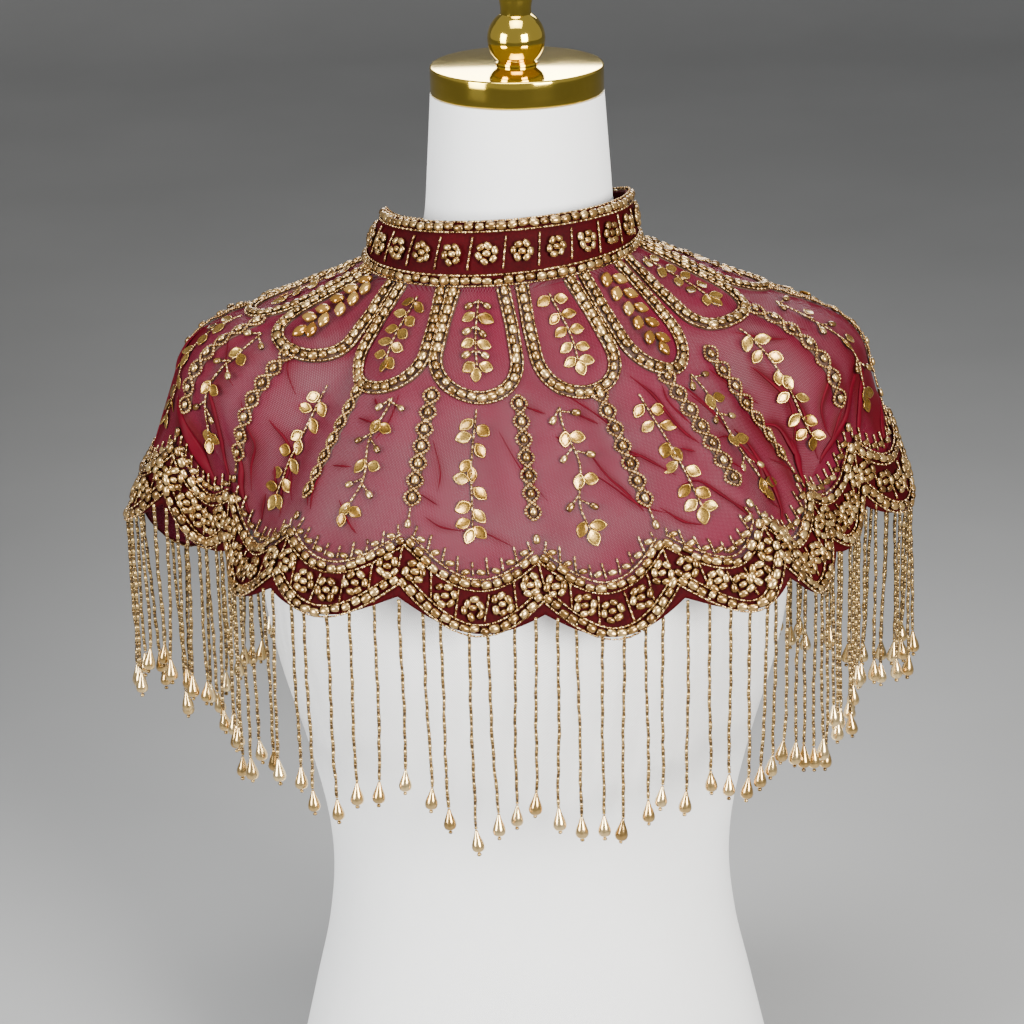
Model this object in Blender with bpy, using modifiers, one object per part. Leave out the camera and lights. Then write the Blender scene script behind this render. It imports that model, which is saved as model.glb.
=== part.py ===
# Beaded net capelet on a limbless dress form.
# Metres, +Z up, origin at the centre of the form's flat underside, the front
# faces -Y and the wearer's left side is +X.
#
# The capelet is one circular flare hung from a stand collar.  A point of the
# cloth has two pattern coordinates: its angle round the neck (0 at the centre
# front, positive towards +X) and its distance below the collar seam.  Each
# radial thread is laid over the form like a taut string, from the seam to the
# hem, and the hem follows the table of folds.

import bpy
import bmesh
import math
import numpy as np
from mathutils import Vector

CM = 0.01

# ---------------------------------------------------------------- main sizes
BASE_Z = 0.410            # height of the chest line (level 0 of the tables) above the underside
NECK_TOP = 0.254          # top of the covered neck above the chest line
CAP_R = 0.0495            # neck cap
CAP_H = 0.0155
BALL_R = 0.0165           # finial ball
STEM_R = 0.0098
GAP = 0.0003              # seam gap between pieces

COLLAR_T = 0.0020         # collar band wall
COLLAR_GAP_BACK = 0.0022  # opening between the collar's two ends
NET_T = 0.0010            # net wall
BAND_T = 0.0010           # hem band wall
BAND_LIFT = 0.0009        # air between the net and the hem band
FRINGE_T = 0.0022         # fringe curtain wall
CAPE_LEN = 0.2015         # seam to the lowest bead row, along the cloth
FORM_CLEAR = 0.0042       # cloth centre line to the form where it rests
SLIT_LEN = 0.085          # back opening of the net, below the collar
SLIT_GAP = 0.0030

BUTTON_R = 0.0042         # back closure
BUTTON_ASIDE = 0.0068
CORD_R = 0.0005

SCALLOPS = 18             # scallops round the hem
BAND_TOP_CUSP = 0.1535    # band's top edge, along the cloth, at a cusp and at a scallop's bottom
BAND_TOP_LOW = 0.1725
HEM_CUSP = 0.1952         # cloth's lower edge at a cusp and at a scallop's bottom
HEM_LOW = 0.2025

COLS = 72                 # facets round the capelet
SEGS = 44                 # facets round the form

# Sections of the form, in cm: level above the chest line, half width, depth to
# the front, depth to the back, squareness of the outline.
FORM_SECTIONS = [
    # level  half   front  back  power
    (-41.0, 15.9, 10.8, 12.6, 2.25),
    (-34.1, 14.3, 10.1, 11.6, 2.20),
    (-30.6, 13.5,  9.6, 10.6, 2.20),
    (-26.6, 12.6,  9.1,  9.4, 2.20),
    (-22.4, 12.15, 8.9,  8.7, 2.20),
    (-18.6, 12.4,  9.3,  8.8, 2.20),
    (-13.8, 13.4, 10.9,  9.3, 2.25),
    ( -9.0, 14.7, 12.3,  9.9, 2.30),
    ( -5.6, 15.4, 12.8, 10.3, 2.35),
    ( -2.0, 15.9, 12.3, 10.5, 2.35),
    (  2.0, 16.7, 10.9, 10.4, 2.35),
    (  5.0, 18.2,  9.8,  9.9, 2.40),
    (  7.5, 19.4,  8.8,  9.2, 2.40),
    (  9.2, 19.7,  8.0,  8.6, 2.35),
    ( 10.5, 19.0,  7.4,  8.1, 2.30),
    ( 11.5, 17.6,  7.0,  7.7, 2.25),
    ( 12.3, 15.4,  6.7,  7.4, 2.20),
    ( 13.0, 12.6,  6.4,  7.1, 2.15),
    ( 13.8, 10.3,  6.1,  6.7, 2.10),
    ( 14.7,  8.2,  5.8,  6.3, 2.00),
    ( 15.8,  6.5,  5.5,  5.9, 2.00),
    ( 17.0,  5.8,  5.3,  5.6, 2.00),
    ( 18.5,  5.45, 5.2,  5.3, 2.00),
    ( 21.0,  5.25, 5.05, 5.1, 2.00),
    ( 25.4,  4.95, 4.95, 4.95, 2.00),
]

# Collar rings, in cm: centre to the side, half width, front depth, back depth,
# level at the sides, rise of the front, drop of the back, how late the drop
# begins, tilt to the side (deg).
COLLAR_RINGS = {
    #          cx    half  front back  level rise  drop  ease tilt
    "seam":  (-1.05, 7.75, 7.45, 7.50, 16.25, 0.00, 2.00, 1.6, 3.5),
    "mid":   (-0.90, 7.45, 7.15, 6.95, 17.70, 0.25, 2.20, 1.3, 3.5),
    "top":   (-0.68, 6.85, 6.45, 6.30, 19.05, 0.50, 2.40, 1.0, 3.5),
}
BACK_SKEW = 0.35          # the back has slipped lower on the wearer's right

# Folds of the hem, in cm: pattern angle in degrees, side position, position
# towards the back, level above the chest line, and how far the cloth above
# bows out over a straight line.
HEM_FOLDS = [
    # angle   side    back   level   bow
    (-180.0,   0.0,  12.5,  -3.8,  1.0),   # back valley
    (-165.0,  -5.0,  15.2,  -2.9,  1.0),   # back lobe
    (-148.0, -10.6,  12.4,  -3.1,  1.0),   # valley
    (-132.0, -16.2,  11.2,  -1.2,  1.0),   # back side lobe
    (-116.0, -18.6,   5.2,  -3.4,  1.0),   # valley
    (-100.0, -23.2,   1.4,  -1.0,  1.0),   # shoulder lobe
    ( -90.0, -23.1,  -1.8,   0.9,  1.0),
    ( -80.0, -21.3,  -3.9,   1.2,  1.0),
    ( -70.0, -18.9,  -4.6,   0.5,  1.0),
    ( -60.0, -17.4,  -6.6,  -0.8,  1.1),
    ( -50.0, -16.3,  -9.6,  -0.9,  1.3),   # armhole valley
    ( -40.0, -14.6, -13.4,  -0.5,  1.7),   # front lobe edge
    ( -30.0, -11.2, -15.5,   0.0,  2.1),
    ( -20.0,  -7.3, -16.4,   0.0,  2.3),
    ( -10.0,  -3.1, -16.2,  -1.0,  2.0),
    (   0.0,   1.0, -15.6,  -1.6,  1.6),
    (  10.0,   5.0, -15.1,  -1.8,  1.1),
    (  20.0,   9.1, -14.7,  -1.1,  0.6),
    (  30.0,  12.5, -14.4,  -0.6,  0.8),
    (  40.0,  15.0, -14.4,  -0.2,  1.7),   # front lobe edge
    (  50.0,  16.1, -12.5,  -0.4,  2.4),   # armhole valley
    (  60.0,  17.9, -10.2,  -0.3,  2.8),
    (  70.0,  18.6,  -7.6,   0.9,  1.7),
    (  80.0,  19.9,  -5.4,   0.6,  1.3),
    (  90.0,  22.0,  -3.3,   1.1,  1.1),   # shoulder lobe
    ( 100.0,  23.0,   0.6,   0.2,  1.0),
    ( 115.0,  19.4,   5.6,  -1.8,  1.0),   # valley
    ( 132.0,  15.8,  10.9,  -1.6,  1.0),   # back side lobe
    ( 148.0,  10.7,  12.4,  -2.4,  1.0),   # valley
    ( 165.0,   5.2,  15.2,  -2.6,  1.0),   # back lobe
]

# Length of the fringe in cm at pattern angles.
FRINGE_LENGTHS = [
    # angle  length
    (-180.0, 12.4),
    (-120.0, 11.6),
    ( -85.0, 11.3),
    ( -45.0, 11.9),
    ( -10.0, 12.9),
    (  15.0, 12.8),
    (  45.0, 11.9),
    (  85.0, 11.3),
    ( 120.0, 11.6),
]


# ------------------------------------------------------------ table functions
def slopes(xs, ys, period=None):
    """Tangents for a smooth curve through a table's rows."""
    n = len(xs)
    m = np.zeros(n)
    for i in range(n):
        if period is None:
            a, b = max(i - 1, 0), min(i + 1, n - 1)
            m[i] = (ys[b] - ys[a]) / (xs[b] - xs[a])
        else:
            a, b = (i - 1) % n, (i + 1) % n
            xa = xs[a] - (period if i == 0 else 0.0)
            xb = xs[b] + (period if i == n - 1 else 0.0)
            h0, h1 = xs[i] - xa, xb - xs[i]
            d0, d1 = (ys[i] - ys[a]) / h0, (ys[b] - ys[i]) / h1
            m[i] = (d0 * h1 + d1 * h0) / (h0 + h1)
    return m


def curve(table, column, x, period=None):
    """Smooth value of one column of a table at x."""
    xs = np.array([row[0] for row in table], float)
    ys = np.array([row[column] for row in table], float)
    ms = slopes(xs, ys, period)
    if period is not None:
        x = (x - xs[0]) % period + xs[0]
        i = int(np.searchsorted(xs, x, side="right") - 1)
        j = (i + 1) % len(xs)
        xj = xs[j] + (period if j == 0 else 0.0)
    else:
        x = min(max(x, xs[0]), xs[-1])
        i = min(int(np.searchsorted(xs, x, side="right") - 1), len(xs) - 2)
        j = i + 1
        xj = xs[j]
    h = xj - xs[i]
    t = (x - xs[i]) / h
    return ((1 + 2 * t) * (1 - t) ** 2 * ys[i] + t * (1 - t) ** 2 * h * ms[i]
            + t * t * (3 - 2 * t) * ys[j] + t * t * (t - 1) * h * ms[j])


# ------------------------------------------------------------------ the form
def form_row(level):
    """half width, front, back and power of the form at a level in cm."""
    return [curve(FORM_SECTIONS, k, level) for k in (1, 2, 3, 4)]


LEVELS = np.linspace(FORM_SECTIONS[0][0], FORM_SECTIONS[-1][0], 400)
ROWS = np.array([form_row(z) for z in LEVELS])


def form_measure(x, y, level):
    """1 on the form's surface, more outside it (cm)."""
    a = np.interp(level, LEVELS, ROWS[:, 0])
    f = np.interp(level, LEVELS, ROWS[:, 1])
    b = np.interp(level, LEVELS, ROWS[:, 2])
    p = np.interp(level, LEVELS, ROWS[:, 3])
    d = np.where(y < 0, f, b)
    return ((np.abs(x) / a) ** p + (np.abs(y) / d) ** p) ** (1.0 / p)


def lift_off_form(pts, clear):
    """Points moved straight out of the form until they are clear of it (cm)."""
    step = 0.1
    for _ in range(3):
        base = form_measure(pts[:, 0], pts[:, 1], pts[:, 2])
        slope = np.empty_like(pts)
        for k in range(3):
            ahead = pts.copy()
            ahead[:, k] += step
            slope[:, k] = (form_measure(ahead[:, 0], ahead[:, 1], ahead[:, 2]) - base) / step
        size = np.linalg.norm(slope, axis=1)
        short = np.maximum(clear - (base - 1.0) / size, 0.0)
        pts = pts + slope / size[:, None] * short[:, None]
    return pts


def form_top(x, y, clear):
    """Level of the form's upper surface, grown by clear, over a plan point (cm)."""
    z = np.linspace(-5.0, 17.5, 91)
    r = math.hypot(x, y) + 1e-6
    k = (r - clear * 0.55) / r
    inside = form_measure(x * k, y * k, z) <= 1.0
    if not inside.any():
        return None
    i = int(np.nonzero(inside)[0][-1])
    lo, hi = z[i], z[min(i + 1, len(z) - 1)]
    for _ in range(12):
        m = 0.5 * (lo + hi)
        if form_measure(x * k, y * k, m) <= 1.0:
            lo = m
        else:
            hi = m
    return lo + clear * 0.85


# ---------------------------------------------------------------- the collar
def ring_point(name, angle):
    """Point of a collar ring in cm, at a pattern angle in degrees."""
    cx, half, front, back, level, rise, drop, ease, tilt = COLLAR_RINGS[name]
    a = math.radians(angle)
    c = math.cos(a)
    x = half * math.sin(a)
    z = level + x * math.tan(math.radians(tilt))
    if c > 0:
        return np.array([cx + x, -front * c, z + rise * c])
    return np.array([cx + x, -back * c, z - drop * (-c) ** ease * (1 - BACK_SKEW * math.sin(a))])


# --------------------------------------------------------------- the capelet
def upper_hull(d, z):
    """Indices of the points that a taut string over them touches."""
    keep = []
    for i in range(len(d)):
        while len(keep) >= 2:
            a, b = keep[-2], keep[-1]
            if (d[b] - d[a]) * (z[i] - z[a]) - (z[b] - z[a]) * (d[i] - d[a]) >= 0:
                keep.pop()
            else:
                break
        keep.append(i)
    return keep


def hem_point(angle):
    return np.array([curve(HEM_FOLDS, k, angle, 360.0) for k in (1, 2, 3)])


def generator(angle, steps=44):
    """The radial thread at a pattern angle, from the seam to the hem (cm)."""
    start = ring_point("seam", angle) - np.array([0.0, 0.0, 0.22])
    end = hem_point(angle)
    t = np.linspace(0.0, 1.0, steps)
    plan = start[None, :2] + (end - start)[None, :2] * t[:, None]
    bow = curve(HEM_FOLDS, 4, angle, 360.0)
    z = start[2] + (end[2] - start[2]) * t + bow * 3.1 * t ** 1.5 * (1.0 - t)
    clear = FORM_CLEAR / CM
    for i in range(1, steps - 1):
        top = form_top(plan[i, 0], plan[i, 1], clear)
        if top is not None and top > z[i]:
            z[i] = top
    d = t * math.hypot(*(end - start)[:2])
    keep = upper_hull(d, z)
    pts = np.column_stack([plan[keep], z[keep]])
    # even spacing along the string, then the sharp turns are rounded
    for rounds in range(3):
        seg = np.linalg.norm(np.diff(pts, axis=0), axis=1)
        s = np.concatenate([[0.0], np.cumsum(seg)])
        w = np.linspace(0.0, s[-1], steps)
        pts = np.column_stack([np.interp(w, s, pts[:, k]) for k in range(3)])
        for _ in range(4):
            pts[1:-1] = 0.25 * pts[:-2] + 0.5 * pts[1:-1] + 0.25 * pts[2:]
        pts[1:] = lift_off_form(pts[1:], clear)
    return pts


def along(pts, share):
    """Point at a share of a string's length (cm)."""
    seg = np.linalg.norm(np.diff(pts, axis=0), axis=1)
    s = np.concatenate([[0.0], np.cumsum(seg)])
    w = share * s[-1]
    if share > 1.0:
        last = pts[-1] - pts[-2]
        return pts[-1] + last / np.linalg.norm(last) * (w - s[-1])
    return np.array([np.interp(w, s, pts[:, k]) for k in range(3)])


def scallop(angle, cusp, low):
    """Distance along the cloth of a scalloped edge at a pattern angle."""
    period = 360.0 / SCALLOPS
    v = (angle / period) % 1.0
    return cusp + (low - cusp) * math.sin(math.pi * v)


def world(p):
    """From table centimetres to the part's frame."""
    return np.array([p[0] * CM, p[1] * CM, p[2] * CM + BASE_Z])


def cape_grid(shares_of, strings):
    """Rows of cloth points: shares_of(angle) gives the distances down a string."""
    grid = []
    for i in range(COLS):
        angle = -180.0 + 360.0 * i / COLS
        grid.append([world(along(strings[i], s / CAPE_LEN)) for s in shares_of(angle)])
    return np.array(grid)


def grid_normals(grid):
    """Outward normals of a closed ring of strings."""
    across = np.roll(grid, -1, 0) - np.roll(grid, 1, 0)
    down = np.empty_like(grid)
    down[:, 1:-1] = grid[:, 2:] - grid[:, :-2]
    down[:, 0] = grid[:, 1] - grid[:, 0]
    down[:, -1] = grid[:, -1] - grid[:, -2]
    n = np.cross(down, across)
    return n / np.linalg.norm(n, axis=2, keepdims=True)


# ---------------------------------------------------------------- scene tools
def clear_scene():
    for obj in list(bpy.data.objects):
        bpy.data.objects.remove(obj, do_unlink=True)


def material(name, colour, roughness, metallic=0.0, alpha=1.0):
    mat = bpy.data.materials.new(name)
    mat.use_nodes = True
    bsdf = mat.node_tree.nodes["Principled BSDF"]
    bsdf.inputs["Base Color"].default_value = (*colour, 1.0)
    bsdf.inputs["Roughness"].default_value = roughness
    bsdf.inputs["Metallic"].default_value = metallic
    bsdf.inputs["Alpha"].default_value = alpha
    mat.diffuse_color = (*colour, 1.0)
    return mat


def add_object(name, mesh, collection, mat, parent=None):
    obj = bpy.data.objects.new(name, mesh)
    collection.objects.link(obj)
    obj.data.materials.append(mat)
    if parent is not None:
        obj.parent = parent
    return obj


def mesh_from(name, verts, faces, smooth=True):
    mesh = bpy.data.meshes.new(name)
    mesh.from_pydata([tuple(v) for v in verts], [], faces)
    mesh.update()
    if smooth:
        mesh.shade_smooth()
    return mesh


def solidify(obj, thickness):
    mod = obj.modifiers.new("wall", "SOLIDIFY")
    mod.thickness = thickness
    mod.offset = 0.0
    mod.use_even_offset = True
    mod.use_rim = True
    return mod


def ring_sheet(name, grid, slit_rows=0, slit_gap=0.0, closed=True):
    """Open surface through a ring of strings.  The first slit_rows rows are
    parted at the seam column by slit_gap; closed=False parts all of them."""
    cols, rows = grid.shape[:2]
    if not closed:
        slit_rows = rows
    verts = [tuple(p) for strings in grid for p in strings]
    index = lambda i, j: i * rows + j
    twin = {}
    if slit_rows:
        for j in range(slit_rows):
            side = grid[1, j] - grid[-1, j]
            side = side / np.linalg.norm(side)
            mid = grid[0, j].copy()
            verts[index(0, j)] = tuple(mid + side * slit_gap * 0.5)
            twin[j] = len(verts)
            verts.append(tuple(mid - side * slit_gap * 0.5))
    faces = []
    for i in range(cols):
        k = (i + 1) % cols
        for j in range(rows - 1):
            right = [index(k, j), index(k, j + 1)]
            if k == 0:
                right = [twin.get(j, right[0]), twin.get(j + 1, right[1])]
            faces.append((index(i, j), index(i, j + 1), right[1], right[0]))
    return mesh_from(name, verts, faces)


def turned(name, profile, collection, mat, location, steps=32):
    """Solid of revolution: profile rows are (radius, height), top to bottom."""
    mesh = bpy.data.meshes.new(name)
    verts = [(max(r, 0.0), 0.0, z) for r, z in profile]
    edges = [(i, i + 1) for i in range(len(verts) - 1)]
    mesh.from_pydata(verts, edges, [])
    obj = add_object(name, mesh, collection, mat)
    mod = obj.modifiers.new("turn", "SCREW")
    mod.axis = "Z"
    mod.angle = 2 * math.pi
    mod.steps = steps
    mod.render_steps = steps
    mod.use_merge_vertices = True
    mod.merge_threshold = 0.00005
    mod.use_smooth_shade = True
    obj.location = location
    return obj


# ------------------------------------------------------------------- pieces
def build_form(col, mats):
    rings = [-41.0, -37.5, -34.0, -30.5, -27.0, -24.5, -22.0, -19.5, -16.5, -13.5,
             -10.5, -8.0, -5.5, -3.0, 0.0, 2.5, 5.0, 7.0, 8.5, 9.7, 10.7, 11.5,
             12.2, 12.9, 13.7, 14.6, 15.6, 16.8, 18.3, 20.5, 25.4]
    bm = bmesh.new()
    loops = []
    for z in rings:
        a, f, b, p = form_row(z)
        loop = []
        for k in range(SEGS):
            t = 2 * math.pi * k / SEGS
            c, s = math.cos(t), math.sin(t)
            d = f if s < 0 else b
            loop.append(bm.verts.new(world((
                math.copysign(abs(c) ** (2 / p), c) * a,
                math.copysign(abs(s) ** (2 / p), s) * d, z))))
        loops.append(loop)
    for lower, upper in zip(loops, loops[1:]):
        for k in range(SEGS):
            m = (k + 1) % SEGS
            bm.faces.new((lower[k], lower[m], upper[m], upper[k]))
    bm.faces.new(list(reversed(loops[0])))
    bm.faces.new(loops[-1])
    mesh = bpy.data.meshes.new("form_torso")
    bm.to_mesh(mesh)
    bm.free()
    mesh.shade_smooth()
    mesh.set_sharp_from_angle(angle=math.radians(50))
    add_object("form_torso", mesh, col, mats["form_cloth"])

    neck = BASE_Z + NECK_TOP
    e = 0.0012
    cap = [(0.0, CAP_H), (CAP_R - e, CAP_H), (CAP_R - 0.3 * e, CAP_H - 0.3 * e),
           (CAP_R, CAP_H - e), (CAP_R, e), (CAP_R - 0.3 * e, 0.3 * e),
           (CAP_R - e, 0.0), (0.0, 0.0)]
    turned("neck_cap", cap, col, mats["polished_gold"], (0, 0, neck + GAP), 40)

    base = neck + GAP + CAP_H + GAP
    profile = []
    zc = 0.0145                                   # height of the ball's centre
    top = 2 * zc + 0.0205
    for k in range(5):                            # domed top of the stem
        t = 0.5 * math.pi * k / 4
        profile.append((STEM_R * math.sin(t), top - STEM_R * 0.45 * (1 - math.cos(t))))
    a0 = math.asin(0.0088 / BALL_R)
    for k in range(11):
        t = a0 + (math.pi - 2 * a0) * k / 10
        z = zc + BALL_R * math.cos(t)
        if z > 0.0:
            profile.append((BALL_R * math.sin(t), z))
    profile.append((0.0118, 0.0012))
    profile.append((0.0118, 0.0))
    profile.append((0.0, 0.0))
    turned("finial", profile, col, mats["polished_gold"], (0, 0, base), 28)


def build_collar(col, mats):
    n = 48
    rows = ["top", "mid", "seam"]
    grid = np.array([[world(ring_point(r, -180.0 + 360.0 * i / n)) for r in rows]
                     for i in range(n)])
    mesh = ring_sheet("collar", grid, slit_gap=COLLAR_GAP_BACK, closed=False)
    obj = add_object("collar", mesh, col, mats["velvet_band"])
    solidify(obj, COLLAR_T)
    return grid


def build_cape(col, mats):
    strings = [generator(-180.0 + 360.0 * i / COLS) for i in range(COLS)]
    fixed = [0.0015, 0.020, 0.040, 0.060, SLIT_LEN, 0.100, 0.120, 0.140, 0.158, 0.172, 0.186]

    def net_rows(angle):
        return fixed + [scallop(angle, HEM_CUSP, HEM_LOW) - 0.0004]

    net = cape_grid(net_rows, strings)
    mesh = ring_sheet("cape_net", net, slit_rows=4, slit_gap=SLIT_GAP)
    solidify(add_object("cape_net", mesh, col, mats["red_net"]), NET_T)

    # hem band: the net's own points, moved out
    normals = grid_normals(net)
    levels = [net_rows(-180.0 + 360.0 * i / COLS) for i in range(COLS)]
    lift = NET_T / 2 + BAND_LIFT + BAND_T / 2
    band = []
    for i in range(COLS):
        angle = -180.0 + 360.0 * i / COLS
        out = net[i] + normals[i] * lift
        top = scallop(angle, BAND_TOP_CUSP, BAND_TOP_LOW)
        low = scallop(angle, HEM_CUSP, HEM_LOW)
        want = [top, 0.5 * (top + 0.186), 0.186, low]
        band.append([[np.interp(w, levels[i], out[:, k]) for k in range(3)] for w in want])
    band = np.array(band)
    mesh = ring_sheet("hem_band", band)
    solidify(add_object("hem_band", mesh, col, mats["velvet_band"]), BAND_T)

    # fringe: a plain curtain of the bead strings' reach, hanging from the hem
    curtain = []
    for i in range(COLS):
        angle = -180.0 + 360.0 * i / COLS
        edge = 0.5 * (net[i, -1] + band[i, -1])
        top = min(net[i, -1][2], band[i, -1][2]) - 0.0011
        length = curve(FRINGE_LENGTHS, 1, angle, 360.0) * CM
        low = top - length
        curtain.append([(edge[0], edge[1], top - (top - low) * k / 2) for k in range(3)])
    curtain = np.array(curtain)
    mesh = ring_sheet("fringe", curtain)
    solidify(add_object("fringe", mesh, col, mats["gold_beads"]), FRINGE_T)


def build_closure(col, mats, collar):
    """Two domed buttons and their loops over the collar's back opening."""
    back = collar[0]
    for name, row, share in (("upper", 0, 0.52), ("lower", 1, 0.45)):
        a, b = back[row], back[row + 1]
        mid = a + (b - a) * share
        down = (b - a) / np.linalg.norm(b - a)
        out = np.cross(down, np.array([1.0, 0.0, 0.0]))
        if out[1] < 0:
            out = -out
        right = np.cross(out, down)
        place = mid + out * (COLLAR_T / 2 + 0.0006)
        r, aside = BUTTON_R, BUTTON_ASIDE
        dome = [(0.0, 0.0034), (0.35 * r, 0.0033), (0.7 * r, 0.0028), (0.93 * r, 0.0018),
                (r, 0.0008), (0.95 * r, 0.0), (0.0, 0.0)]
        button = turned("button_" + name, dome, col, mats["gold_beads"], (0, 0, 0), 16)
        button.rotation_mode = "QUATERNION"
        button.rotation_quaternion = Vector(out).to_track_quat("Z", "Y")
        button.location = Vector(place + right * aside)

        # loop of cord from the other end of the collar round the button
        reach = r + CORD_R + 0.0004
        arc = [(aside + reach * math.sin(q), reach * math.cos(q))
               for q in np.linspace(0.0, math.pi, 9)]
        outline = [(-0.0070, 0.45 * reach), (-0.0010, 0.85 * reach)] + arc + \
                  [(-0.0010, -0.85 * reach), (-0.0070, -0.45 * reach)]
        data = bpy.data.curves.new("loop_" + name, "CURVE")
        data.dimensions = "3D"
        data.bevel_depth = CORD_R
        data.bevel_resolution = 1
        data.use_fill_caps = True
        spline = data.splines.new("POLY")
        spline.points.add(len(outline) - 1)
        for point, (x, y) in zip(spline.points, outline):
            p = place + right * x + down * y + out * (CORD_R + 0.0001)
            point.co = (*p, 1.0)
        add_object("loop_" + name, data, col, mats["velvet_band"])


def main():
    clear_scene()
    col = bpy.data.collections.new("beaded_capelet")
    bpy.context.scene.collection.children.link(col)
    mats = {
        "form_cloth": material("form_cloth", (0.84, 0.84, 0.81), 0.85),
        "polished_gold": material("polished_gold", (0.86, 0.63, 0.18), 0.12, 1.0),
        "velvet_band": material("velvet_band", (0.16, 0.004, 0.012), 0.8),
        "red_net": material("red_net", (0.42, 0.01, 0.05), 0.6),
        "gold_beads": material("gold_beads", (0.70, 0.52, 0.28), 0.3, 0.8),
    }
    build_form(col, mats)
    collar = build_collar(col, mats)
    build_cape(col, mats)
    build_closure(col, mats, collar)


main()
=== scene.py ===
# Looks of the beaded net capelet on its dress form.
# Metres, +Z up, front -Y, origin at the centre of the form's flat underside.
#
# Everything on the capelet is placed in pattern coordinates: u, the angle in
# degrees round the neck (0 at the centre front, positive towards +X), and s,
# the distance in centimetres below the collar seam along the cloth.

import math
import bpy
import numpy as np
from mathutils import Euler, Matrix, Vector


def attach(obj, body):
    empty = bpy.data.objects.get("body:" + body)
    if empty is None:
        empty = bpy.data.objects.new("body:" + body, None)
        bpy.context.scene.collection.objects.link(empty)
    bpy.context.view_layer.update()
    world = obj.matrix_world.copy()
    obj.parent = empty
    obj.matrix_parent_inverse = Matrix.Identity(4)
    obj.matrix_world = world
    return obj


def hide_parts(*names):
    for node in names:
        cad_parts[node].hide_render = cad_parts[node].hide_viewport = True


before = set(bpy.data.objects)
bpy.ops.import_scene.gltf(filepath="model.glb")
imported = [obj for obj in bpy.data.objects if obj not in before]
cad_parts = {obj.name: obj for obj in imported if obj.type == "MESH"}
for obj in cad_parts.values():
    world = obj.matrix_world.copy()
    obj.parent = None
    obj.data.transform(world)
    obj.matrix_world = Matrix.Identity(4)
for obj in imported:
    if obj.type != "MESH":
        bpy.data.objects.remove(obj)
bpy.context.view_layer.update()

RNG = np.random.default_rng(11)
COL = bpy.data.collections.new("looks")
bpy.context.scene.collection.children.link(COL)

CM = 0.01
MM = 0.001
BASE_Z = 0.410
NECK_TOP = 0.254
CAP_R = 0.0495
CAP_H = 0.0155
FORM_CLEAR = 0.0042
CAPE_LEN = 20.15
SCALLOPS = 18
FLAT_R0 = 9.6              # flat cut: inner radius of the ring sector, cm
FLAT_ANGLE = 5.007         # and its angle, radians

# Sections of the form, in cm: level above the chest line, half width, depth to
# the front, depth to the back, squareness of the outline.
FORM_SECTIONS = [
    # level  half   front  back  power
    (-41.0, 15.9, 10.8, 12.6, 2.25),
    (-34.1, 14.3, 10.1, 11.6, 2.20),
    (-30.6, 13.5,  9.6, 10.6, 2.20),
    (-26.6, 12.6,  9.1,  9.4, 2.20),
    (-22.4, 12.15, 8.9,  8.7, 2.20),
    (-18.6, 12.4,  9.3,  8.8, 2.20),
    (-13.8, 13.4, 10.9,  9.3, 2.25),
    ( -9.0, 14.7, 12.3,  9.9, 2.30),
    ( -5.6, 15.4, 12.8, 10.3, 2.35),
    ( -2.0, 15.9, 12.3, 10.5, 2.35),
    (  2.0, 16.7, 10.9, 10.4, 2.35),
    (  5.0, 18.2,  9.8,  9.9, 2.40),
    (  7.5, 19.4,  8.8,  9.2, 2.40),
    (  9.2, 19.7,  8.0,  8.6, 2.35),
    ( 10.5, 19.0,  7.4,  8.1, 2.30),
    ( 11.5, 17.6,  7.0,  7.7, 2.25),
    ( 12.3, 15.4,  6.7,  7.4, 2.20),
    ( 13.0, 12.6,  6.4,  7.1, 2.15),
    ( 13.8, 10.3,  6.1,  6.7, 2.10),
    ( 14.7,  8.2,  5.8,  6.3, 2.00),
    ( 15.8,  6.5,  5.5,  5.9, 2.00),
    ( 17.0,  5.8,  5.3,  5.6, 2.00),
    ( 18.5,  5.45, 5.2,  5.3, 2.00),
    ( 21.0,  5.25, 5.05, 5.1, 2.00),
    ( 25.4,  4.95, 4.95, 4.95, 2.00),
]

# Collar rings, in cm: centre to the side, half width, front depth, back depth,
# level at the sides, rise of the front, drop of the back, how late the drop
# begins, tilt to the side (deg).
COLLAR_RINGS = {
    #          cx    half  front back  level rise  drop  ease tilt
    "seam":  (-1.05, 7.75, 7.45, 7.50, 16.25, 0.00, 2.00, 1.6, 3.5),
    "mid":   (-0.90, 7.45, 7.15, 6.95, 17.70, 0.25, 2.20, 1.3, 3.5),
    "top":   (-0.68, 6.85, 6.45, 6.30, 19.05, 0.50, 2.40, 1.0, 3.5),
}
BACK_SKEW = 0.35          # the back has slipped lower on the wearer's right

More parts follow.
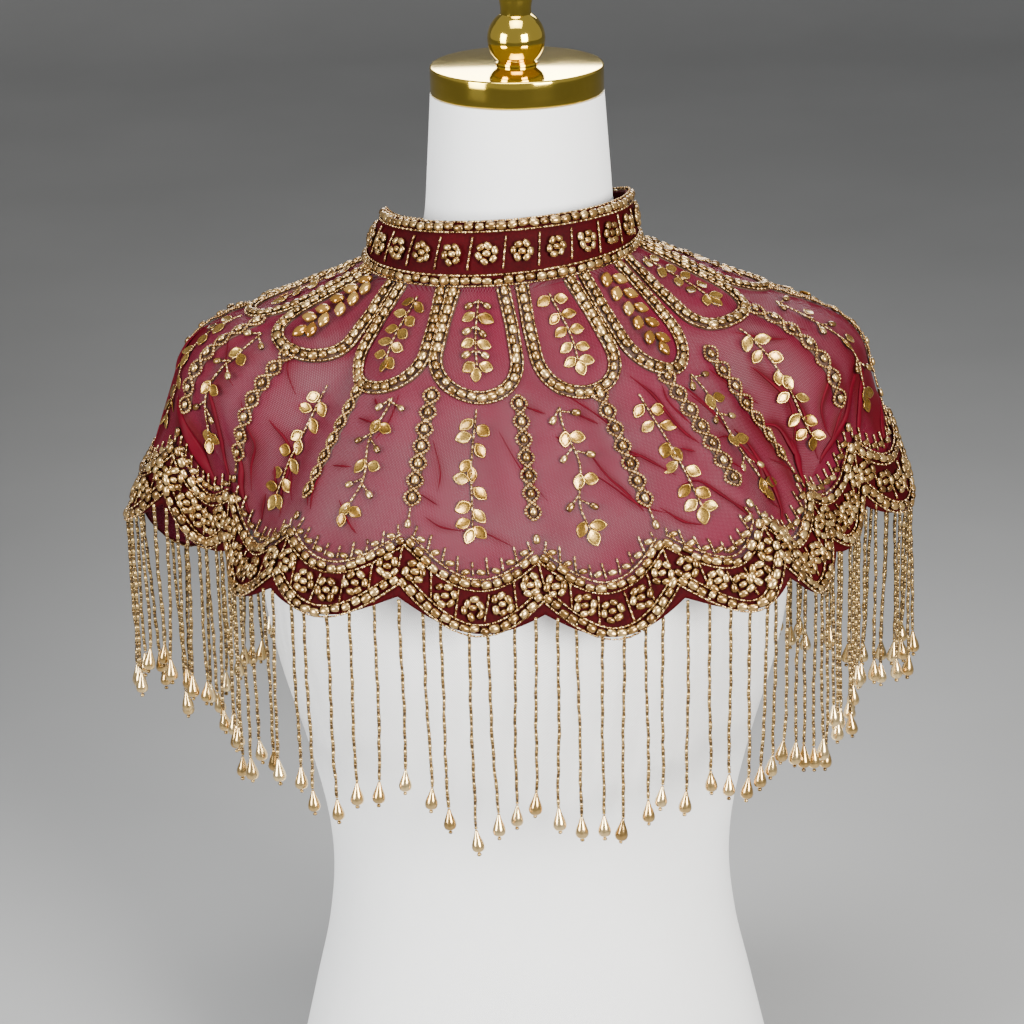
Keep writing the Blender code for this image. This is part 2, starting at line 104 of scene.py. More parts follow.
# Folds of the hem, in cm: pattern angle in degrees, side position, position
# towards the back, level above the chest line, and how far the cloth above
# bows out over a straight line.
HEM_FOLDS = [
    # angle   side    back   level   bow
    (-180.0,   0.0,  12.5,  -3.8,  1.0),   # back valley
    (-165.0,  -5.0,  15.2,  -2.9,  1.0),   # back lobe
    (-148.0, -10.6,  12.4,  -3.1,  1.0),   # valley
    (-132.0, -16.2,  11.2,  -1.2,  1.0),   # back side lobe
    (-116.0, -18.6,   5.2,  -3.4,  1.0),   # valley
    (-100.0, -23.2,   1.4,  -1.0,  1.0),   # shoulder lobe
    ( -90.0, -23.1,  -1.8,   0.9,  1.0),
    ( -80.0, -21.3,  -3.9,   1.2,  1.0),
    ( -70.0, -18.9,  -4.6,   0.5,  1.0),
    ( -60.0, -17.4,  -6.6,  -0.8,  1.1),
    ( -50.0, -16.3,  -9.6,  -0.9,  1.3),   # armhole valley
    ( -40.0, -14.6, -13.4,  -0.5,  1.7),   # front lobe edge
    ( -30.0, -11.2, -15.5,   0.0,  2.1),
    ( -20.0,  -7.3, -16.4,   0.0,  2.3),
    ( -10.0,  -3.1, -16.2,  -1.0,  2.0),
    (   0.0,   1.0, -15.6,  -1.6,  1.6),
    (  10.0,   5.0, -15.1,  -1.8,  1.1),
    (  20.0,   9.1, -14.7,  -1.1,  0.6),
    (  30.0,  12.5, -14.4,  -0.6,  0.8),
    (  40.0,  15.0, -14.4,  -0.2,  1.7),   # front lobe edge
    (  50.0,  16.1, -12.5,  -0.4,  2.4),   # armhole valley
    (  60.0,  17.9, -10.2,  -0.3,  2.8),
    (  70.0,  18.6,  -7.6,   0.9,  1.7),
    (  80.0,  19.9,  -5.4,   0.6,  1.3),
    (  90.0,  22.0,  -3.3,   1.1,  1.1),   # shoulder lobe
    ( 100.0,  23.0,   0.6,   0.2,  1.0),
    ( 115.0,  19.4,   5.6,  -1.8,  1.0),   # valley
    ( 132.0,  15.8,  10.9,  -1.6,  1.0),   # back side lobe
    ( 148.0,  10.7,  12.4,  -2.4,  1.0),   # valley
    ( 165.0,   5.2,  15.2,  -2.6,  1.0),   # back lobe
]

# Length of the fringe in cm at pattern angles.
FRINGE_LENGTHS = [
    # angle  length
    (-180.0, 12.4),
    (-120.0, 11.6),
    ( -85.0, 11.3),
    ( -45.0, 11.9),
    ( -10.0, 12.9),
    (  15.0, 12.8),
    (  45.0, 11.9),
    (  85.0, 11.3),
    ( 120.0, 11.6),
]


# ------------------------------------------------------------ table functions
def slopes(xs, ys, period=None):
    """Tangents for a smooth curve through a table's rows."""
    n = len(xs)
    m = np.zeros(n)
    for i in range(n):
        if period is None:
            a, b = max(i - 1, 0), min(i + 1, n - 1)
            m[i] = (ys[b] - ys[a]) / (xs[b] - xs[a])
        else:
            a, b = (i - 1) % n, (i + 1) % n
            xa = xs[a] - (period if i == 0 else 0.0)
            xb = xs[b] + (period if i == n - 1 else 0.0)
            h0, h1 = xs[i] - xa, xb - xs[i]
            d0, d1 = (ys[i] - ys[a]) / h0, (ys[b] - ys[i]) / h1
            m[i] = (d0 * h1 + d1 * h0) / (h0 + h1)
    return m


def curve(table, column, x, period=None):
    """Smooth value of one column of a table at x."""
    xs = np.array([row[0] for row in table], float)
    ys = np.array([row[column] for row in table], float)
    ms = slopes(xs, ys, period)
    if period is not None:
        x = (x - xs[0]) % period + xs[0]
        i = int(np.searchsorted(xs, x, side="right") - 1)
        j = (i + 1) % len(xs)
        xj = xs[j] + (period if j == 0 else 0.0)
    else:
        x = min(max(x, xs[0]), xs[-1])
        i = min(int(np.searchsorted(xs, x, side="right") - 1), len(xs) - 2)
        j = i + 1
        xj = xs[j]
    h = xj - xs[i]
    t = (x - xs[i]) / h
    return ((1 + 2 * t) * (1 - t) ** 2 * ys[i] + t * (1 - t) ** 2 * h * ms[i]
            + t * t * (3 - 2 * t) * ys[j] + t * t * (t - 1) * h * ms[j])


# ------------------------------------------------------------------ the form
def form_row(level):
    """half width, front, back and power of the form at a level in cm."""
    return [curve(FORM_SECTIONS, k, level) for k in (1, 2, 3, 4)]


LEVELS = np.linspace(FORM_SECTIONS[0][0], FORM_SECTIONS[-1][0], 400)
ROWS = np.array([form_row(z) for z in LEVELS])


def form_measure(x, y, level):
    """1 on the form's surface, more outside it (cm)."""
    a = np.interp(level, LEVELS, ROWS[:, 0])
    f = np.interp(level, LEVELS, ROWS[:, 1])
    b = np.interp(level, LEVELS, ROWS[:, 2])
    p = np.interp(level, LEVELS, ROWS[:, 3])
    d = np.where(y < 0, f, b)
    return ((np.abs(x) / a) ** p + (np.abs(y) / d) ** p) ** (1.0 / p)


def lift_off_form(pts, clear):
    """Points moved straight out of the form until they are clear of it (cm)."""
    step = 0.1
    for _ in range(3):
        base = form_measure(pts[:, 0], pts[:, 1], pts[:, 2])
        slope = np.empty_like(pts)
        for k in range(3):
            ahead = pts.copy()
            ahead[:, k] += step
            slope[:, k] = (form_measure(ahead[:, 0], ahead[:, 1], ahead[:, 2]) - base) / step
        size = np.linalg.norm(slope, axis=1)
        short = np.maximum(clear - (base - 1.0) / size, 0.0)
        pts = pts + slope / size[:, None] * short[:, None]
    return pts


def form_top(x, y, clear):
    """Level of the form's upper surface, grown by clear, over a plan point (cm)."""
    z = np.linspace(-5.0, 17.5, 91)
    r = math.hypot(x, y) + 1e-6
    k = (r - clear * 0.55) / r
    inside = form_measure(x * k, y * k, z) <= 1.0
    if not inside.any():
        return None
    i = int(np.nonzero(inside)[0][-1])
    lo, hi = z[i], z[min(i + 1, len(z) - 1)]
    for _ in range(12):
        m = 0.5 * (lo + hi)
        if form_measure(x * k, y * k, m) <= 1.0:
            lo = m
        else:
            hi = m
    return lo + clear * 0.85


# ---------------------------------------------------------------- the collar
def ring_point(name, angle):
    """Point of a collar ring in cm, at a pattern angle in degrees."""
    cx, half, front, back, level, rise, drop, ease, tilt = COLLAR_RINGS[name]
    a = math.radians(angle)
    c = math.cos(a)
    x = half * math.sin(a)
    z = level + x * math.tan(math.radians(tilt))
    if c > 0:
        return np.array([cx + x, -front * c, z + rise * c])
    return np.array([cx + x, -back * c, z - drop * (-c) ** ease * (1 - BACK_SKEW * math.sin(a))])


# --------------------------------------------------------------- the capelet
def upper_hull(d, z):
    """Indices of the points that a taut string over them touches."""
    keep = []
    for i in range(len(d)):
        while len(keep) >= 2:
            a, b = keep[-2], keep[-1]
            if (d[b] - d[a]) * (z[i] - z[a]) - (z[b] - z[a]) * (d[i] - d[a]) >= 0:
                keep.pop()
            else:
                break
        keep.append(i)
    return keep


def hem_point(angle):
    return np.array([curve(HEM_FOLDS, k, angle, 360.0) for k in (1, 2, 3)])


def generator(angle, steps=44):
    """The radial thread at a pattern angle, from the seam to the hem (cm)."""
    start = ring_point("seam", angle) - np.array([0.0, 0.0, 0.22])
    end = hem_point(angle)
    t = np.linspace(0.0, 1.0, steps)
    plan = start[None, :2] + (end - start)[None, :2] * t[:, None]
    bow = curve(HEM_FOLDS, 4, angle, 360.0)
    z = start[2] + (end[2] - start[2]) * t + bow * 3.1 * t ** 1.5 * (1.0 - t)
    clear = FORM_CLEAR / CM
    for i in range(1, steps - 1):
        top = form_top(plan[i, 0], plan[i, 1], clear)
        if top is not None and top > z[i]:
            z[i] = top
    d = t * math.hypot(*(end - start)[:2])
    keep = upper_hull(d, z)
    pts = np.column_stack([plan[keep], z[keep]])
    # even spacing along the string, then the sharp turns are rounded
    for rounds in range(3):
        seg = np.linalg.norm(np.diff(pts, axis=0), axis=1)
        s = np.concatenate([[0.0], np.cumsum(seg)])
        w = np.linspace(0.0, s[-1], steps)
        pts = np.column_stack([np.interp(w, s, pts[:, k]) for k in range(3)])
        for _ in range(4):
            pts[1:-1] = 0.25 * pts[:-2] + 0.5 * pts[1:-1] + 0.25 * pts[2:]
        pts[1:] = lift_off_form(pts[1:], clear)
    return pts


def along(pts, share):
    """Point at a share of a string's length (cm)."""
    seg = np.linalg.norm(np.diff(pts, axis=0), axis=1)
    s = np.concatenate([[0.0], np.cumsum(seg)])
    w = share * s[-1]
    if share > 1.0:
        last = pts[-1] - pts[-2]
        return pts[-1] + last / np.linalg.norm(last) * (w - s[-1])
    return np.array([np.interp(w, s, pts[:, k]) for k in range(3)])


def scallop(angle, cusp, low):
    v = (np.asarray(angle, float) / (360.0 / SCALLOPS)) % 1.0
    return cusp + (low - cusp) * np.sin(np.pi * v)


# ---------------------------------------------------------- mesh and tools
def mesh_object(name, verts, faces, mats, smooth=True, attrs=None, uv=None, face_mats=None):
    """faces is a list of integer arrays, one for each number of corners."""
    mesh = bpy.data.meshes.new(name)
    verts = np.asarray(verts, np.float32)
    faces = [np.asarray(f, np.int32) for f in faces if len(f)]
    loops = np.concatenate([f.ravel() for f in faces])
    sizes = np.concatenate([np.full(len(f), f.shape[1], np.int32) for f in faces])
    starts = np.concatenate([[0], np.cumsum(sizes)[:-1]]).astype(np.int32)
    mesh.vertices.add(len(verts))
    mesh.vertices.foreach_set("co", verts.ravel())
    mesh.loops.add(len(loops))
    mesh.loops.foreach_set("vertex_index", loops)
    mesh.polygons.add(len(sizes))
    mesh.polygons.foreach_set("loop_start", starts)
    if face_mats is not None:
        mesh.polygons.foreach_set("material_index", np.asarray(face_mats, np.int32))
    mesh.update(calc_edges=True)
    for key, values in (attrs or {}).items():
        layer = mesh.attributes.new(key, "FLOAT", "POINT")
        layer.data.foreach_set("value", np.asarray(values, np.float32))
    if uv is not None:
        layer = mesh.uv_layers.new(name="cut")
        layer.data.foreach_set("uv", np.asarray(uv, np.float32)[loops].ravel())
    if smooth:
        mesh.shade_smooth()
    obj = bpy.data.objects.new(name, mesh)
    COL.objects.link(obj)
    for mat in (mats if isinstance(mats, (list, tuple)) else [mats]):
        mesh.materials.append(mat)
    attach(obj, "root")
    return obj


def lathe(profile, steps):
    """Closed solid of revolution; profile rows (r, z) run down the outside."""
    profile = np.array(profile, float)
    inner = profile[1:-1]
    n = len(inner)
    a = np.linspace(0, 2 * math.pi, steps, endpoint=False)
    ring = np.stack([np.outer(inner[:, 0], np.cos(a)), np.outer(inner[:, 0], np.sin(a)),
                     np.outer(inner[:, 1], np.ones(steps))], axis=2).reshape(-1, 3)
    verts = np.vstack([[0, 0, profile[0, 1]], ring, [0, 0, profile[-1, 1]]])
    k = np.arange(steps)
    m = (k + 1) % steps
    tris = [np.column_stack([np.zeros(steps, int), 1 + k, 1 + m])]
    last = 1 + n * steps
    base = 1 + (n - 1) * steps
    tris.append(np.column_stack([np.full(steps, last), base + m, base + k]))
    quads = [np.column_stack([1 + j * steps + k, 1 + (j + 1) * steps + k,
                              1 + (j + 1) * steps + m, 1 + j * steps + m]) for j in range(n - 1)]
    return verts, [np.vstack(tris), np.vstack(quads)]


# ------------------------------------------------------------ the cloth grid
def periodic_columns(table, fine):
    """Smooth curves through equally spaced columns round the neck."""
    n = len(table)
    x = fine / 360.0 * n + 0.5 * n
    i = np.floor(x).astype(int)
    t = (x - i)[:, None, None]
    p0, p1, p2, p3 = (table[(i + k) % n] for k in (-1, 0, 1, 2))
    return 0.5 * (2 * p1 + (p2 - p0) * t + (2 * p0 - 5 * p1 + 4 * p2 - p3) * t ** 2
                  + (3 * p1 - p0 - 3 * p2 + p3) * t ** 3)


S_STEP = 0.1
S_ROWS = np.arange(0.0, 21.0 + 1e-6, S_STEP)
U_FINE = np.arange(-180.0, 180.0, 0.5)


def build_strings():
    columns = []
    for k in range(72):
        pts = generator(-180.0 + 5.0 * k)
        seg = np.linalg.norm(np.diff(pts, axis=0), axis=1)
        length = np.concatenate([[0.0], np.cumsum(seg)])
        w = S_ROWS / CAPE_LEN * length[-1]
        col = np.column_stack([np.interp(w, length, pts[:, c]) for c in range(3)])
        over = w > length[-1]
        last = (pts[-1] - pts[-3]) / np.linalg.norm(pts[-1] - pts[-3])
        col[over] = pts[-1] + np.outer(w[over] - length[-1], last)
        columns.append(col)
    table = np.array(columns) * CM
    table[:, :, 2] += BASE_Z
    return periodic_columns(table, U_FINE)


P_SURF = build_strings()


def surface_frames(P):
    across = np.roll(P, -1, 0) - np.roll(P, 1, 0)
    down = np.gradient(P, axis=1)
    m_u = np.linalg.norm(across, axis=2) / 1.0          # metres per degree
    m_s = np.linalg.norm(down, axis=2) / S_STEP         # metres per cm of pattern
    N = np.cross(down, across)
    N /= np.linalg.norm(N, axis=2, keepdims=True)
    D = down / np.linalg.norm(down, axis=2, keepdims=True)
    return N, D, m_u, m_s


N_SURF, D_SURF, MU_SURF, MS_SURF = surface_frames(P_SURF)


def lookup(arr, u, s):
    """Value of a surface array at pattern coordinates."""
    x = ((np.asarray(u, float) + 180.0) % 360.0) / 0.5
    y = np.clip(np.asarray(s, float) / S_STEP, 0.0, len(S_ROWS) - 1.001)
    i, j = np.floor(x).astype(int), np.floor(y).astype(int)
    fx, fy = x - i, y - j
    i0, i1 = i % len(U_FINE), (i + 1) % len(U_FINE)
    if arr.ndim == 3:
        fx, fy = fx[..., None], fy[..., None]
    return ((arr[i0, j] * (1 - fx) + arr[i1, j] * fx) * (1 - fy)
            + (arr[i0, j + 1] * (1 - fx) + arr[i1, j + 1] * fx) * fy)


def unit(v):
    return v / np.maximum(np.linalg.norm(v, axis=-1, keepdims=True), 1e-12)


def place(u, s):
    """Point, unit across, unit down and outward normal on the cloth."""
    u, s = np.broadcast_arrays(np.asarray(u, float), np.asarray(s, float))
    P = lookup(P_SURF, u, s)
    N = unit(lookup(N_SURF, u, s))
    D = lookup(D_SURF, u, s)
    D = unit(D - (D * N).sum(-1, keepdims=True) * N)
    return P, np.cross(N, D), D, N


def shift(u, s, across_mm, down_mm):
    """Pattern coordinates of a point a few millimetres away on the cloth."""
    return (u + across_mm * MM / lookup(MU_SURF, u, s),
            s + down_mm * MM / lookup(MS_SURF, u, s))


# --------------------------------------------------------------- bead shapes
def fan_body(rings, sides, squash=1.0, stagger=False):
    """Closed body from rings (radius, height, painted shade); radius 0 ends it."""
    verts, tones, faces3, faces4 = [], [], [], []
    starts = []
    for q, (r, z, tone) in enumerate(rings):
        starts.append(len(verts))
        if r == 0.0:
            verts.append((0, 0, z))
            tones.append(tone)
        else:
            off = 0.5 if (stagger and q % 2) else 0.0
            for k in range(sides):
                a = 2 * math.pi * (k + off) / sides
                verts.append((r * math.cos(a), r * math.sin(a) * squash, z))
                tones.append(tone)
    for q in range(len(rings) - 1):
        a, b = starts[q], starts[q + 1]
        ra, rb = rings[q][0], rings[q + 1][0]
        for k in range(sides):
            m = (k + 1) % sides
            if ra == 0.0:
                faces3.append((a, b + k, b + m))
            elif rb == 0.0:
                faces3.append((a + k, b, a + m))
            elif stagger:
                if q % 2 == 0:
                    faces3.append((a + k, b + k, a + m))
                    faces3.append((a + m, b + k, b + m))
                else:
                    faces3.append((a + k, b + k, b + m))
                    faces3.append((a + k, b + m, a + m))
            else:
                faces4.append((a + k, b + k, b + m, a + m))
    return (np.array(verts, float), np.array(tones, float),
            [np.array(f, int) for f in (faces3, faces4) if f])


# rings run from the top (outward) to the underside; the last value of each ring is painted shade, darker
# on the flanks and underside
SEED = fan_body([(0.0, 0.5, 0.2), (0.40, 0.28, 0.0), (0.5, -0.05, 0.0), (0.30, -0.42, 0.4),
                 (0.0, -0.5, 0.5)], 6)
STONE = fan_body([(0.0, 0.44, 0.0), (0.26, 0.42, 0.10), (0.42, 0.24, 0.35), (0.5, 0.0, 0.7),
                  (0.36, -0.40, 0.8), (0.0, -0.48, 0.8)], 10, stagger=True)
STONE[0][:, 1] *= 1 - 0.70 * (2 * np.abs(STONE[0][:, 0])) ** 1.9     # pointed ends


def barrel_body(rows, sides):
    """Closed body along x from rows (place, radius, painted shade); painted shade also darkens its flanks
    and underside, and most of all the holes at its ends.
    """
    verts, tones = [], []
    for x, r, tone in rows:
        for k in range(sides):
            a = 2 * math.pi * (k + 0.5) / sides
            verts.append((x, r * math.cos(a), r * math.sin(a)))
            tones.append(min(1.0, tone + 0.8 * max(0.45 - math.sin(a), 0.0)))
    n = len(rows)
    verts += [(rows[0][0], 0, 0), (rows[-1][0], 0, 0)]
    tones += [1.0, 1.0]
    k = np.arange(sides)
    m = (k + 1) % sides
    quads = [np.column_stack([j * sides + k, j * sides + m, (j + 1) * sides + m,
                              (j + 1) * sides + k]) for j in range(n - 1)]
    tris = [np.column_stack([m, k, np.full(sides, n * sides)]),
            np.column_stack([(n - 1) * sides + k, (n - 1) * sides + m,
                             np.full(sides, n * sides + 1)])]
    return np.array(verts, float), np.array(tones, float), [np.vstack(tris), np.vstack(quads)]


OVAL = barrel_body([(-0.5, 0.26, 1.0), (-0.37, 0.43, 0.40), (0.0, 0.5, 0.0),
                    (0.37, 0.43, 0.40), (0.5, 0.26, 1.0)], 8)


def bugle_body(sides=6):
    a = np.arange(sides) * 2 * math.pi / sides + math.pi / 6
    ring = np.column_stack([np.zeros(sides), 0.5 * np.cos(a), 0.5 * np.sin(a)])
    verts = np.vstack([ring + [-0.5, 0, 0], ring + [0.5, 0, 0], [[-0.47, 0, 0], [0.47, 0, 0]]])
    k = np.arange(sides)
    m = (k + 1) % sides
    quads = np.column_stack([k, m, m + sides, k + sides])
    tris = np.vstack([np.column_stack([np.full(sides, 2 * sides), m, k]),
                      np.column_stack([np.full(sides, 2 * sides + 1), k + sides, m + sides])])
    # painted shade: the end caps stand dark for the holes of the tube
    tones = np.concatenate([np.full(2 * sides, 0.15), [1.0, 1.0]])
    return verts, tones, [tris, quads]


BUGLE = bugle_body()


def leaf_body(sides=14):
    """Cupped pointed oval, length along x, with a bright rim and painted shade in the hollow of its cup.
    """
    verts, tones = [], []
    rows = [(1.0, 0.0, 0.0), (0.86, 0.10, 0.0), (0.80, 0.02, 0.8), (0.42, -0.10, 0.55)]
    for share, z, tone in rows:
        for k in range(sides):
            a = 2 * math.pi * k / sides
            x = math.cos(a)
            y = math.sin(a) * (1 - 0.52 * abs(x) ** 2.2)
            x = x * (1.0 + (0.08 if x > 0 else 0.0))
            facet = 0.05 if (k % 2 and share < 0.85) else 0.0
            verts.append((0.5 * x * share, 0.5 * y * share, 0.5 * (z + facet)))
            tones.append(tone)
    verts += [(0.0, 0.0, -0.03), (0.0, 0.0, -0.16)]
    tones += [0.5, 0.9]
    n = sides
    k = np.arange(n)
    m = (k + 1) % n
    quads = [np.column_stack([j * n + m, j * n + k, (j + 1) * n + k, (j + 1) * n + m])[:, ::-1]
             for j in range(3)]
    tris = np.vstack([np.column_stack([3 * n + k, 3 * n + m, np.full(n, 4 * n)]),
                      np.column_stack([m, k, np.full(n, 4 * n + 1)])])
    return np.array(verts, float), np.array(tones, float), [tris, np.vstack(quads)]


LEAF = leaf_body()


def outward(body):
    """Faces turned so that the closed body's volume is positive."""
    verts, tones, faces = body
    volume = 0.0
    for f in faces:
        for c in range(1, f.shape[1] - 1):
            a, b, d = verts[f[:, 0]], verts[f[:, c]], verts[f[:, c + 1]]
            volume += (a * np.cross(b, d)).sum()
    if volume < 0:
        faces = [f[:, ::-1] for f in faces]
    return verts, tones, faces


OVAL, SEED, STONE, BUGLE, LEAF = map(outward, (OVAL, SEED, STONE, BUGLE, LEAF))


class Beads:
    """Many small closed bodies gathered into one mesh."""

    def __init__(self):
        self.verts, self.faces, self.tone, self.rnd = [], {3: [], 4: []}, [], []
        self.count = 0

    def add(self, body, pos, long, normal, size, lift=0.0, spread=1.0, shade=None):
        """pos (n,3); long: long axis; normal: outward; size (l, w, h) in mm."""
        bv, bt, bf = body
        pos = np.atleast_2d(pos)
        n = len(pos)
        if n == 0:
            return
        N = unit(np.broadcast_to(np.atleast_2d(normal), (n, 3)))
        L = np.broadcast_to(np.atleast_2d(long), (n, 3))
        L = unit(L - (L * N).sum(1, keepdims=True) * N)
        W = np.cross(N, L)
        size = np.broadcast_to(np.atleast_2d(np.asarray(size, float)), (n, 3)) * MM
        size = size * (1.0 + 0.05 * spread * RNG.standard_normal((n, 1)))
        frames = np.stack([L, W, N], axis=1)
        local = bv[None] * size[:, None, :]
        V = np.einsum("nvk,nkc->nvc", local, frames) + (pos + N * lift)[:, None, :]
        self.verts.append(V.reshape(-1, 3))
        self.tone.append(np.tile(bt, n))
        self.rnd.append(np.repeat(RNG.random(n) if shade is None else shade, len(bt)))
        base = self.count + np.arange(n)[:, None, None] * len(bv)
        for f in bf:
            self.faces[f.shape[1]].append((f[None] + base).reshape(-1, f.shape[1]))
        self.count += n * len(bv)

    def build(self, name, mat, smooth=False):
        # the bodies carry their per-vertex painted shade as an attribute
        faces = [np.vstack(self.faces[k]) for k in (3, 4) if self.faces[k]]
        return mesh_object(name, np.vstack(self.verts), faces, mat, smooth=smooth,
                           attrs={"tone": np.concatenate(self.tone),
                                  "rnd": np.concatenate(self.rnd)})


class Strips:
    """Soft closed strips laid on the cloth, gathered into one mesh."""

    SECTION = [(-1.0, 0.0), (-0.6, 0.75), (0.0, 1.0), (0.6, 0.75), (1.0, 0.0), (0.0, -0.4)]

    def __init__(self):
        self.verts, self.quads, self.tris, self.count = [], [], [], 0

    def add(self, P, N, width, height, lift):
        """Along points P with normals N; width and height in mm, lift in metres."""
        n, c = len(P), len(self.SECTION)
        T = unit(np.gradient(P, axis=0))
        W = np.cross(N, T)
        w = np.broadcast_to(np.asarray(width, float) * 0.5 * MM, (n,))[:, None]
        h = np.broadcast_to(np.asarray(height, float) * MM, (n,))[:, None]
        ring = np.stack([P + N * lift + W * w * a + N * h * b for a, b in self.SECTION], axis=1)
        self.verts.append(ring.reshape(-1, 3))
        self.verts.append(np.array([P[0] + N[0] * lift, P[-1] + N[-1] * lift]))
        i = self.count + np.arange(n - 1)[:, None] * c + np.arange(c)
        j = self.count + np.arange(n - 1)[:, None] * c + (np.arange(c) + 1) % c
        self.quads.append(np.stack([i, j, j + c, i + c], axis=-1).reshape(-1, 4))
        k, m = np.arange(c), (np.arange(c) + 1) % c
        a, b = self.count + n * c, self.count + n * c + 1
        e = self.count + (n - 1) * c
        self.tris.append(np.column_stack([self.count + m, self.count + k, np.full(c, a)]))
        self.tris.append(np.column_stack([e + k, e + m, np.full(c, b)]))
        self.count += n * c + 2

    def build(self, name, mat):
        v = np.vstack(self.verts)
        faces = [np.vstack(self.tris), np.vstack(self.quads)]
        return mesh_object(name, *outward((v, None, faces))[::2], mat)


def run_along(u, s, pitch, aside=0.0, where=place, wobble=0.0):
    """Even stations along a line in pattern coordinates.

    Returns points, line directions and normals.  aside shifts the line to the
    left of its direction, seen from outside, in mm.
    """
    P, A, D, N = where(u, s)
    T = unit(np.gradient(P, axis=0))
    P = P + np.cross(N, T) * aside * MM
    seg = np.linalg.norm(np.diff(P, axis=0), axis=1)
    arc = np.concatenate([[0.0], np.cumsum(seg)])
    count = max(1, int(round(arc[-1] / (pitch * MM))))
    w = (np.arange(count) + 0.5) / count * arc[-1]
    if wobble:
        w = w + wobble * MM * RNG.standard_normal(count)
    pick = lambda a: np.column_stack([np.interp(w, arc, a[:, c]) for c in range(3)])
    return pick(P), unit(pick(T)), unit(pick(N))


OVAL_SIZE = (5.3, 4.7, 3.1)
BUGLE_SIZE = (3.3, 1.25, 1.25)
SKIN = 0.0007                     # cloth's half thickness plus thread


def oval_row(beads, u, s, pitch=5.5, size=OVAL_SIZE, lift=0.0, where=place, aside=0.0):
    P, T, N = run_along(u, s, pitch, aside=aside, where=where, wobble=0.18)
    n = len(P)
    sizes = np.array(size) * (1 + 0.06 * RNG.standard_normal((n, 3)))
    T = unit(T + np.cross(N, T) * 0.12 * RNG.standard_normal((n, 1)))
    N = unit(N + np.cross(N, T) * 0.20 * RNG.standard_normal((n, 1)))
    beads.add(OVAL, P, T, N, sizes, SKIN + lift + size[2] * 0.45 * MM)


def bugle_row(beads, u, s, aside=0.0, pitch=3.55, size=BUGLE_SIZE, lift=0.0, where=place):
    P, T, N = run_along(u, s, pitch, aside=aside, where=where, wobble=0.12)
    n = len(P)
    T = unit(T + np.cross(N, T) * 0.07 * RNG.standard_normal((n, 1)))
    beads.add(BUGLE, P, T, N, size, SKIN + lift + size[2] * 0.5 * MM)


def bordered_row(ovals, bugles, u, s, where=place, gap=3.1, lift=0.0, pitch=5.5, size=OVAL_SIZE):
    oval_row(ovals, u, s, pitch=pitch, size=size, where=where, lift=lift)
    bugle_row(bugles, u, s, aside=gap, where=where, lift=lift)
    bugle_row(bugles, u, s, aside=-gap, where=where, lift=lift)


# ------------------------------------------------------------------ materials
class Nodes:
    """A small helper for building a procedural material."""

    def __init__(self, name, slot_colour):
        self.mat = bpy.data.materials.new(name)
        self.mat.use_nodes = True
        self.mat.diffuse_color = (*slot_colour, 1.0)
        self.tree = self.mat.node_tree
        self.bsdf = self.tree.nodes["Principled BSDF"]

    def node(self, kind, **values):
        n = self.tree.nodes.new(kind)
        for key, v in values.items():
            setattr(n, key, v)
        return n

    def link(self, a, b):
        self.tree.links.new(a, b)

    def set(self, socket, value):
        self.bsdf.inputs[socket].default_value = value

    def attribute(self, name):
        return self.node("ShaderNodeAttribute", attribute_name=name).outputs["Fac"]

    def ramp(self, fac, stops):
        n = self.node("ShaderNodeValToRGB")
        ramp = n.color_ramp
        while len(ramp.elements) < len(stops):
            ramp.elements.new(0.5)
        for e, (pos, colour) in zip(ramp.elements, stops):
            e.position = pos
            e.color = (*colour, 1.0)
        self.link(fac, n.inputs["Fac"])
        return n.outputs["Color"]

    def math(self, op, a, b=None, c=None, clamp=False):
        n = self.node("ShaderNodeMath", operation=op, use_clamp=clamp)
        for k, v in enumerate((a, b, c)):
            if v is None:
                continue
            if isinstance(v, (int, float)):
                n.inputs[k].default_value = v
            else:
                self.link(v, n.inputs[k])
        return n.outputs[0]

    def mix(self, fac, a, b, blend="MIX"):
        n = self.node("ShaderNodeMix", data_type="RGBA", blend_type=blend)
        for socket, v in ((n.inputs[0], fac), (n.inputs[6], a), (n.inputs[7], b)):
            if isinstance(v, (int, float)):
                socket.default_value = v
            elif isinstance(v, tuple):
                socket.default_value = (*v, 1.0)
            else:
                self.link(v, socket)
        return n.outputs[2]

    def noise(self, scale, detail=2.0, coords=None, rough=0.5):
        n = self.node("ShaderNodeTexNoise")
        n.inputs["Scale"].default_value = scale
        n.inputs["Detail"].default_value = detail
        n.inputs["Roughness"].default_value = rough
        self.link(coords if coords is not None else self.coords(), n.inputs["Vector"])
        return n.outputs["Fac"]

    def coords(self):
        return self.node("ShaderNodeTexCoord").outputs["Object"]

    def wave(self, coords, scale, angle=0.0, tilt=(0.0, 0.0)):
        m = self.node("ShaderNodeMapping")
        m.inputs["Rotation"].default_value = (tilt[0], tilt[1], angle)
        self.link(coords, m.inputs["Vector"])
        w = self.node("ShaderNodeTexWave", wave_type="BANDS", bands_direction="X",
                      wave_profile="SIN")
        w.inputs["Scale"].default_value = scale
        self.link(m.outputs[0], w.inputs["Vector"])
        return w.outputs["Fac"]

    def bump(self, height, strength, distance):
        n = self.node("ShaderNodeBump")
        n.inputs["Strength"].default_value = strength
        n.inputs["Distance"].default_value = distance
        self.link(height, n.inputs["Height"])
        self.link(n.outputs[0], self.bsdf.inputs["Normal"])
